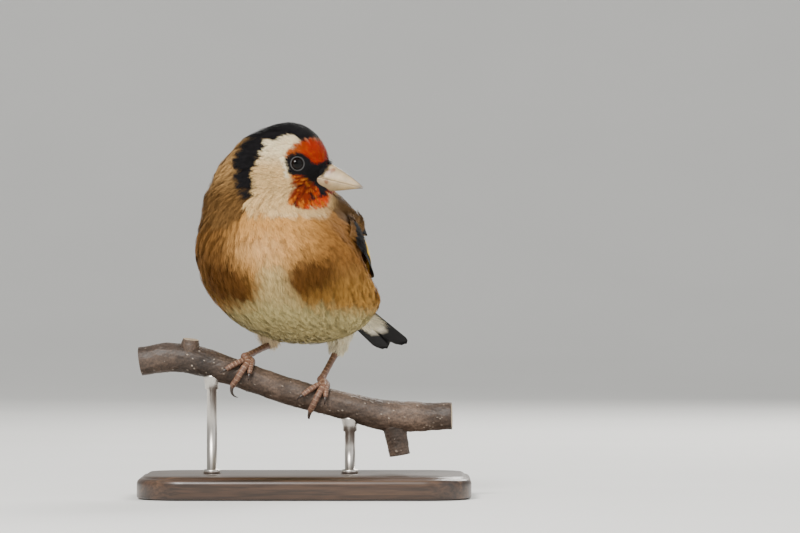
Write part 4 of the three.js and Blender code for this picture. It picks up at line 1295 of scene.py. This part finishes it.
perch = {
    # places in the room and radii
    "axis": ((-47.8, 1.5, 38.9, 4.1), (-39, 0.8, 40.2, 4.2), (-30.5, 0.2, 39, 4.15),
             (-23.2, 0, 36.8, 3.95), (-17.4, 0, 34.7, 3.9), (-6.8, 0, 31, 3.85), (4.3, 0, 27.9, 3.85),
             (14.5, 0, 25.4, 4), (24.6, 0, 23.2, 4.5), (33.3, -0.4, 23, 4.15), (42.5, -1, 23.2, 3.9)),
    "fork": ((25.2, 0, 22.6, 3.6), (26.6, 0.2, 16.5, 3.1), (27.4, 0.3, 11.8, 2.95)),
    "knob": ((-34.2, 0.4, 39.5, 3.3), (-33.4, -0.6, 43, 2.9), (-33.1, -0.9, 45.4, 2.3)),
    # steps along, steps round, seed and number of pores of each tube
    "tubes": (("axis", 560, 124, 3, 210), ("fork", 70, 90, 13, 30), ("knob", 50, 80, 23, 14)),
    "bark": np.array([0.082, 0.054, 0.038]),
    "pale": np.array([0.46, 0.38, 0.30]),
    "wood": np.array([0.50, 0.36, 0.20]),
}


def roomPlace(p):  # millimetres in the room to metres
    return np.asarray(p, float) * mm


# Bark: a tube whose radius takes waves of four sizes, lengthwise wrinkles that are finer across than
# along, and a small raised dot at each pore
def barkTube(stops, steps, sides, seed, pores):
    line = curveAt(stops, np.linspace(0, 1, steps))
    base = tubeGrid(line[:, :3], line[:, 3], (0, 1, 0.001), sides)
    out = unit(base - line[:, None, :3])
    rough = 0.09 * ripple(base, 11, seed) + 0.05 * ripple(base, 3.6, seed + 1)
    rough += 0.035 * ripple(base * np.array([0.3, 1, 1]), 1.1, seed + 2)
    rough += 0.02 * ripple(base, 0.7, seed + 3)
    source = np.random.default_rng(seed)
    spots = base.reshape(-1, 3)[source.integers(0, steps * sides, pores)]
    sizes = source.uniform(0.16, 0.36, pores)
    flat = base.reshape(-1, 3)
    dots = np.zeros(len(flat))
    for spot, size in zip(spots, sizes):  # one pass for each pore over all the points
        away = ((flat - spot) * np.array([1, 1.5, 1.5]) / size) ** 2
        dots = np.maximum(dots, np.exp(-away.sum(-1)))
    dots = dots.reshape(base.shape[:2])
    tone = 0.5 + 0.5 * ripple(base, 16, seed + 5)
    colour = blend(perch["bark"] * 0.7, perch["bark"] * 1.25, tone[..., None])
    grain = np.clip(rough / 0.16, -1, 1)[..., None]
    colour = colour * (1 + 0.3 * grain)
    colour = blend(colour, perch["pale"], ease(dots, 0.3, 0.7)[..., None] * 0.8)
    return base + out * (rough + 0.12 * dots)[..., None], np.clip(colour, 0, 1)


def cutEnd(grid, colour, last):  # flat end of fresh wood: rings of the end row drawn in to its middle
    ring = grid[-1] if last else grid[0]
    middle = ring.mean(0)
    shares = np.array([0.9, 0.72, 0.5, 0.25])[:, None, None]
    inner = middle + (ring - middle) * shares
    rings = perch["wood"] * (0.75 + 0.25 * np.sin(np.linalg.norm(inner - middle, axis=-1) * 7))[..., None]
    if last:
        return np.concatenate([grid, inner]), np.concatenate([colour, rings])
    return np.concatenate([inner[::-1], grid]), np.concatenate([rings[::-1], colour])


# Perch: the branch, its fork and its knob as three tubes, each cut flat at its free ends
def makePerch():
    grids, colours = [], []
    for word, steps, sides, seed, pores in perch["tubes"]:
        grid, colour = barkTube(perch[word], steps, sides, seed, pores)
        if word == "axis":
            grid, colour = cutEnd(grid, colour, False)
        grid, colour = cutEnd(grid, colour, True)
        grids.append(grid)
        colours.append(colour)
    piece = addTubes("bark_perch", grids, barkFinish, colours, place=roomPlace)
    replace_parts(piece, "perch")


makePerch()
print("perch made")


# Legs and feet

legs = {
    "left": {"thighTop": (-16, 13.2, 22.5), "ankle": (-15.4, 11.3, 10.9), "pad": (-4, 10.8, 2.7),
             "hook": 0.3},
    "right": {"thighTop": (-6.5, -7.6, 23), "ankle": (-10.2, -7.2, 13), "pad": (4.6, -9.6, 9.3),
              "hook": 0.8},
}
# turn round the perch at the start and end, shift along it, radius, and length of the claw
toes = [
    ("hallux", 98, 190, 1.2, 0.85, 5.4),
    ("inner", 82, 2, -5.4, 0.76, 3.6),
    ("middle", 80, -46, -2.3, 0.86, 5.6),
    ("outer", 84, 14, 0.9, 0.74, 3.6),
]
foot = {
    "tarsus": 0.93,
    "ankle": 1.1,
    "padRadius": 1.2,
    "toeSwell": 1.14,  # toes over the solids' own
    "perchRadius": 3.85,
    "clawLift": 32,
    "clawCurl": 75,
    "skin": np.array([0.155, 0.075, 0.045]),
    "scale": np.array([0.42, 0.27, 0.17]),
    "horn": np.array([0.035, 0.022, 0.016]),
}
perchFine = curveAt(perch["axis"], np.linspace(0, 1, 2000))


def overPerch(x, angle, clear):  # point at x in the room, turned round the perch's axis
    k = int(np.clip(np.searchsorted(perchFine[:, 0], x), 1, len(perchFine) - 2))
    tangent = unit(perchFine[k + 1, :3] - perchFine[k - 1, :3])
    front = np.array([0, -1.0, 0])
    top = unit(np.cross(front, tangent))
    radius = perchFine[k, 3] + clear
    a = np.radians(angle)
    return toBird(perchFine[k, :3] + front * radius * np.cos(a) + top * radius * np.sin(a))


def roomX(p):  # how far right in the room a point of the bird's frame lies
    return (p @ birdTurn.T + pose["birdPlace"])[0]


def perchMiddle(p):  # point near the perch's axis that lies beside p
    return overPerch(roomX(p), 0, -foot["perchRadius"])


# Toe from the pad round the perch: each stop is turned a little further round the perch's axis
def toeLine(leg, toe):
    name, start, end, shift, radius, claw = toe
    pad = np.array(leg["pad"], float)
    x = roomX(pad)
    steps = 5
    radius = radius * foot["toeSwell"]
    stops = [np.append(pad, radius * 1.15)]
    for k in range(1, steps + 1):
        t = k / steps
        p = overPerch(x + shift * t, blend(start, end, t), radius + 0.3)
        stops.append(np.append(p, radius * blend(1.08, 0.86, t)))
    return np.array(stops)


# Scaly tube: the radius swells between joints and steps by a saw tooth at each scale of the upper
# side, whose share of the turn is the cosine to the outer side
def scalyTube(stops, outer, scales, steps, sides, depth):
    t = np.linspace(0, 1, steps)
    line = curveAt(stops, t)
    ahead = unit(np.gradient(line[:, :3], axis=0))
    up = unit(outer - dot(outer, ahead) * ahead)
    side = np.cross(ahead, up)
    angle = np.arange(sides) * 2 * np.pi / sides
    top = np.clip(np.cos(angle), 0, 1)[None, :] ** 0.7
    phase = (t * scales) % 1
    saw = (phase ** 1.5)[:, None]
    pads = np.abs(np.sin(t * scales * 0.55 * np.pi))[:, None]
    radius = line[:, 3:] * (1 + depth * saw * top + 0.12 * pads * np.clip(-np.cos(angle), 0, 1)[None, :])
    ring = np.cos(angle)[None, :, None] * up[:, None] + np.sin(angle)[None, :, None] * side[:, None]
    grid = line[:, None, :3] + radius[..., None] * ring
    edge = (ease(phase, 0.78, 0.95)[:, None] * top)[..., None]
    colour = blend(np.broadcast_to(foot["skin"], grid.shape), foot["scale"], edge * 0.8)
    return grid, colour


# Leg: a scaly tube from the feathers down to the pad, four scaly toes and the ball of the foot
def makeLeg(word):
    leg = legs[word]
    ankle, pad, thighTop = (np.array(leg[key], float) for key in ("ankle", "pad", "thighTop"))
    down = unit(pad - ankle)
    start = blend(ankle, thighTop, 0.12)
    end = pad + down * 0.4
    shares = np.linspace(0, 1, 6)[:, None]
    thin = foot["tarsus"]
    radii = np.array([0.95, foot["ankle"], thin, thin * 0.95, thin, thin * 1.15])
    stops = np.concatenate([start[None], blend(ankle, end, shares[:-1] / 0.8)], 0)
    stops = np.concatenate([stops, radii[:, None]], 1)
    forward = np.broadcast_to(unit(np.array([1.0, 0, 0.6])), (110, 3))
    grid, colour = scalyTube(stops, forward, 11, 110, 28, 0.13)
    piece = addTubes("scales_tarsus_" + word, [grid], skinFinish, [colour])
    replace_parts(piece, "tarsus_" + word)
    # toes with their pads, and the ball of the foot
    grids, colours = [], []
    for toe in toes:
        stops = toeLine(leg, toe)
        line = curveAt(stops, np.linspace(0, 1, 90))
        middle = np.array([perchMiddle(p) for p in line[:, :3]])
        outer = unit(line[:, :3] - middle)
        grid, colour = scalyTube(stops, outer, 9, 90, 24, 0.16)
        grids.append(grid)
        colours.append(colour)
        addClaw(leg, toe, stops, word)
    ball = ballGrid(pad, foot["padRadius"] * 1.08, 20, 28)
    grids.append(ball)
    colours.append(np.broadcast_to(foot["skin"], ball.shape))
    piece = addTubes("scales_foot_" + word, grids, skinFinish, colours)
    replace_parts(piece, "foot_" + word)


def ballGrid(centre, radius, rows, columns):  # latitude grid on a ball
    polar = np.linspace(0.05, np.pi - 0.05, rows)[:, None]
    turn = (np.arange(columns) * 2 * np.pi / columns)[None, :]
    way = np.stack([np.sin(polar) * np.cos(turn), np.sin(polar) * np.sin(turn),
                    np.cos(polar) + 0 * turn], -1)
    return np.asarray(centre) + radius * way


# Claw: a cone bent in the plane of its toe and the perch, or along the perch by the leg's hook
def addClaw(leg, toe, stops, word):
    name, start, end, shift, radius, length = toe
    tip = stops[-1, :3]
    ahead = unit(tip - stops[-2, :3])
    middle = perchMiddle(tip)
    outer = tip - middle
    outer = unit(outer - dot(outer, ahead) * ahead)
    share = leg["hook"] if name == "middle" else 0
    sideways = np.array([1.0, 0, 0]) @ birdTurn
    inward = unit(outer * (share - 1) + sideways * share)
    lift = np.radians(foot["clawLift"])
    first = ahead * np.cos(lift) + outer * np.sin(lift)
    steps = 40
    t = np.linspace(0, 1, steps)[:, None]
    bend = np.radians(foot["clawCurl"]) * t
    way = first * np.cos(bend) + inward * np.sin(bend)
    travel = np.concatenate([np.zeros((1, 3)), np.cumsum(way[:-1], 0)]) * (length + 0.5) / steps
    line = tip - ahead * 0.3 + outer * 0.05 + travel
    radii = blend(radius * 0.8, 0.07, t[:, 0] ** 0.9)
    side = unit(np.cross(first, inward))
    grid = tubeGrid(line, radii, side, 20)
    colour = blend(foot["skin"] * 0.5, foot["horn"], ease(t, 0.02, 0.3)[:, None] * np.ones(grid.shape))
    piece = addTubes(f"horn_claw_{word}_{name}", [grid], clawFinish, [colour])
    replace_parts(piece, f"claw_{word}_{name}")


for word in legs:
    makeLeg(word)
print("legs made")


# Thighs: a cone of loose feathers from the belly to the ankle

thigh = {"radii": (4.2, 3.6, 2.5, 1.3), "feathers": 260, "length": 4.2, "barbs": 34}


# Thigh: a core tube from the belly to the ankle, with feathers rooted on it that lie down its length
def makeThigh(word):
    leg = legs[word]
    top, ankle = np.array(leg["thighTop"], float), np.array(leg["ankle"], float)
    stops = np.array([np.append(blend(top, ankle, k / 3), r * 0.8) for k, r in enumerate(thigh["radii"])])
    line = curveAt(stops, np.linspace(0, 1, 40))
    grid = tubeGrid(line[:, :3], line[:, 3], (0, 1, 0), 40)
    count = thigh["feathers"]
    k = rng.integers(4, 34, count)
    j = rng.integers(0, 40, count)
    root = grid[k, j]
    out = unit(root - line[k, :3])
    down = unit(ankle - top)
    way = unit(down + out * rng.uniform(0.0, 0.25, (count, 1)))
    length = thigh["length"] * rng.uniform(0.7, 1.2, count) * blend(1, 0.6, k / 34)
    steps = coat["shaftSteps"]
    shares = np.linspace(0, 1, steps)[None, :, None]
    shafts = root[:, None] + way[:, None] * shares * length[:, None, None]
    shafts += out[:, None] * (0.5 * np.sin(shares * 2.2))
    white = tints["white"] if word == "left" else blend(tints["white"], tints["flank"], 0.35)
    shade = np.broadcast_to(white, (count, 3))
    spots = np.stack([j / 40, k / 40], -1)
    addSoft("coat_thigh_" + word, shafts, out, length, length * 0.26, thigh["barbs"], shade,
            spots)
    core = addTubes("thigh_core_" + word, [grid], plumageFinish,
                    [np.broadcast_to(white * 0.6, grid.shape)])
    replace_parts(core, "thigh_" + word)


for word in legs:
    makeThigh(word)
print("thighs made")


# Stand

stand = {
    "size": (96, 62, 6.5),
    "corner": 14,
    "rodRadius": 1.5,
    "rodPlaces": (-27, 13),
    "collarRadius": 2.5,
}


# Slab: a rounded rectangle drawn in by each step of an edge profile, closed in the middle
def makeBase():
    length, width, height = stand["size"]
    r = stand["corner"]
    angle = np.concatenate([np.linspace(q * 90, q * 90 + 90, 24) for q in range(4)])
    corner = np.repeat([[1, 1], [-1, 1], [-1, -1], [1, -1]], 24, 0)
    middle = corner * [length / 2 - r, width / 2 - r]
    way = np.stack([np.cos(np.radians(angle)), np.sin(np.radians(angle))], -1)
    bead = np.linspace(0, np.pi / 2, 8)
    inset = np.concatenate([[30, 3, 0.8, 0.25, 0, 0], 1.4 * (1 - np.cos(bead[1:])), [1.7, 2.1, 2.6, 30]])
    rise = np.concatenate([[0, 0, 0, 0.2, 0.7, height - 2.3], height - 2.3 + 1.6 * np.sin(bead[1:]),
                           [height - 0.62, height - 0.2, height, height]])
    grid = []
    for i, z in zip(inset, rise):
        shrink = np.maximum(r - i, 0.6)
        pull = np.maximum(i - r + 0.6, 0)
        ring = middle * (1 - pull / 40) + way * shrink
        grid.append(np.concatenate([ring, np.full((len(ring), 1), z)], 1))
    return np.array(grid)


base = addTubes("wood_base", [makeBase()], makeBaseWood(), place=roomPlace)
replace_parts(base, "stand_base")


def makeRod(x, node, finish):  # turned rod: a profile of radii and heights spun about its axis
    k = int(np.searchsorted(perchFine[:, 0], x))
    under = perchFine[k, 2] - perchFine[k, 3]
    bottom = stand["size"][2]
    r, c = stand["rodRadius"], stand["collarRadius"]
    profile = np.array([
        (c - 0.3, bottom), (c, bottom + 0.2), (c, bottom + 0.9), (c - 0.25, bottom + 1.2),
        (r, bottom + 1.3), (r, under - 3.2), (c * 0.8, under - 2.9), (c * 0.85, under - 1.2),
        (c, under + 0.4), (c, under + 1.0)])
    angle = np.arange(48) * 2 * np.pi / 48
    grid = np.stack([x + profile[:, :1] * np.cos(angle), profile[:, :1] * np.sin(angle),
                     np.broadcast_to(profile[:, 1:], (len(profile), 48))], -1)
    piece = addTubes("metal_" + node, [grid], finish, place=roomPlace)
    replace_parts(piece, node)


steel = makeSteel()
for x, word in zip(stand["rodPlaces"], ("left", "right")):
    makeRod(x, "stand_rod_" + word, steel)
print("stand made")


# Stage, camera and lights

view = {
    "distance": 1.6,
    "middle": (27.5 * mm, 66.5 * mm),
    "frameWidth": 231.9 * mm,
    "sensor": 36,
}


def makeFloor():  # floor that curves up into a backdrop, all one surface
    bend = [(1.2 + np.sin(a), 1 - np.cos(a)) for a in np.linspace(0.1, np.pi / 2, 16)]
    profile = np.array([(-3, 0), (1.2, 0)] + bend + [(2.2, 4)])
    shape = (len(profile), 9)
    across = np.linspace(-4, 4, 9)
    points = np.stack([np.broadcast_to(across, shape), np.broadcast_to(profile[:, :1], shape),
                       np.broadcast_to(profile[:, 1:] - 0.0002, shape)], -1)
    k, j = np.meshgrid(np.arange(len(profile) - 1), np.arange(8), indexing="ij")
    a = k * 9 + j
    quads = np.stack([a, a + 1, a + 10, a + 9], -1).reshape(-1, 4)
    mesh = bpy.data.meshes.new("floor")
    mesh.from_pydata(points.reshape(-1, 3).tolist(), [], quads.tolist())
    mesh.polygons.foreach_set("use_smooth", np.ones(len(quads), bool))
    mesh.materials.append(makePlain("floor_paper", (0.82, 0.82, 0.80), 0.9))
    floor = bpy.data.objects.new("floor", mesh)
    bpy.context.scene.collection.objects.link(floor)


def addLight(name, place, size, power, colour):  # a round lamp turned towards the bird
    lamp = bpy.data.lights.new(name, "AREA")
    lamp.shape = "DISK"
    lamp.size = size
    lamp.energy = power
    lamp.color = colour
    light = bpy.data.objects.new(name, lamp)
    light.location = place
    way = np.array(studio["aim"]) - np.array(place)
    light.rotation_mode = "QUATERNION"
    light.rotation_quaternion = Vector(way).to_track_quat("-Z", "Y")
    bpy.context.scene.collection.objects.link(light)


def makeCamera():  # level, straight ahead; focal length = sensor x distance / frame width
    lens = bpy.data.cameras.new("camera")
    lens.sensor_width = view["sensor"]
    lens.lens = view["sensor"] * view["distance"] / view["frameWidth"]
    lens.clip_start = 0.1
    lens.clip_end = 20
    camera = bpy.data.objects.new("camera", lens)
    camera.location = (view["middle"][0], -view["distance"], view["middle"][1])
    camera.rotation_euler = (np.pi / 2, 0, 0)
    bpy.context.scene.collection.objects.link(camera)
    bpy.context.scene.camera = camera


studio = {
    "aim": (0, 0, 0.07),
    # name, place, size, power and colour
    "lamps": [
        ("key", (-0.28, -0.8, 0.8), 0.4, 18, (1, 0.98, 0.95)),
        ("fill", (0.9, -0.6, 0.5), 1.4, 4, (0.97, 0.98, 1)),
        ("rim", (0.35, 0.7, 0.6), 0.5, 8, (1, 0.98, 0.94)),
    ],
    "air": (0.9, 0.9, 0.89, 1),
    "airStrength": 0.58,
}


def makeRoom():  # even pale light from all round
    world = bpy.data.worlds.new("room")
    world.use_nodes = True
    world.node_tree.nodes["Background"].inputs[0].default_value = studio["air"]
    world.node_tree.nodes["Background"].inputs[1].default_value = studio["airStrength"]
    bpy.context.scene.world = world


makeFloor()
makeCamera()
for lamp in studio["lamps"]:
    addLight(*lamp)
makeRoom()
print("stage made")
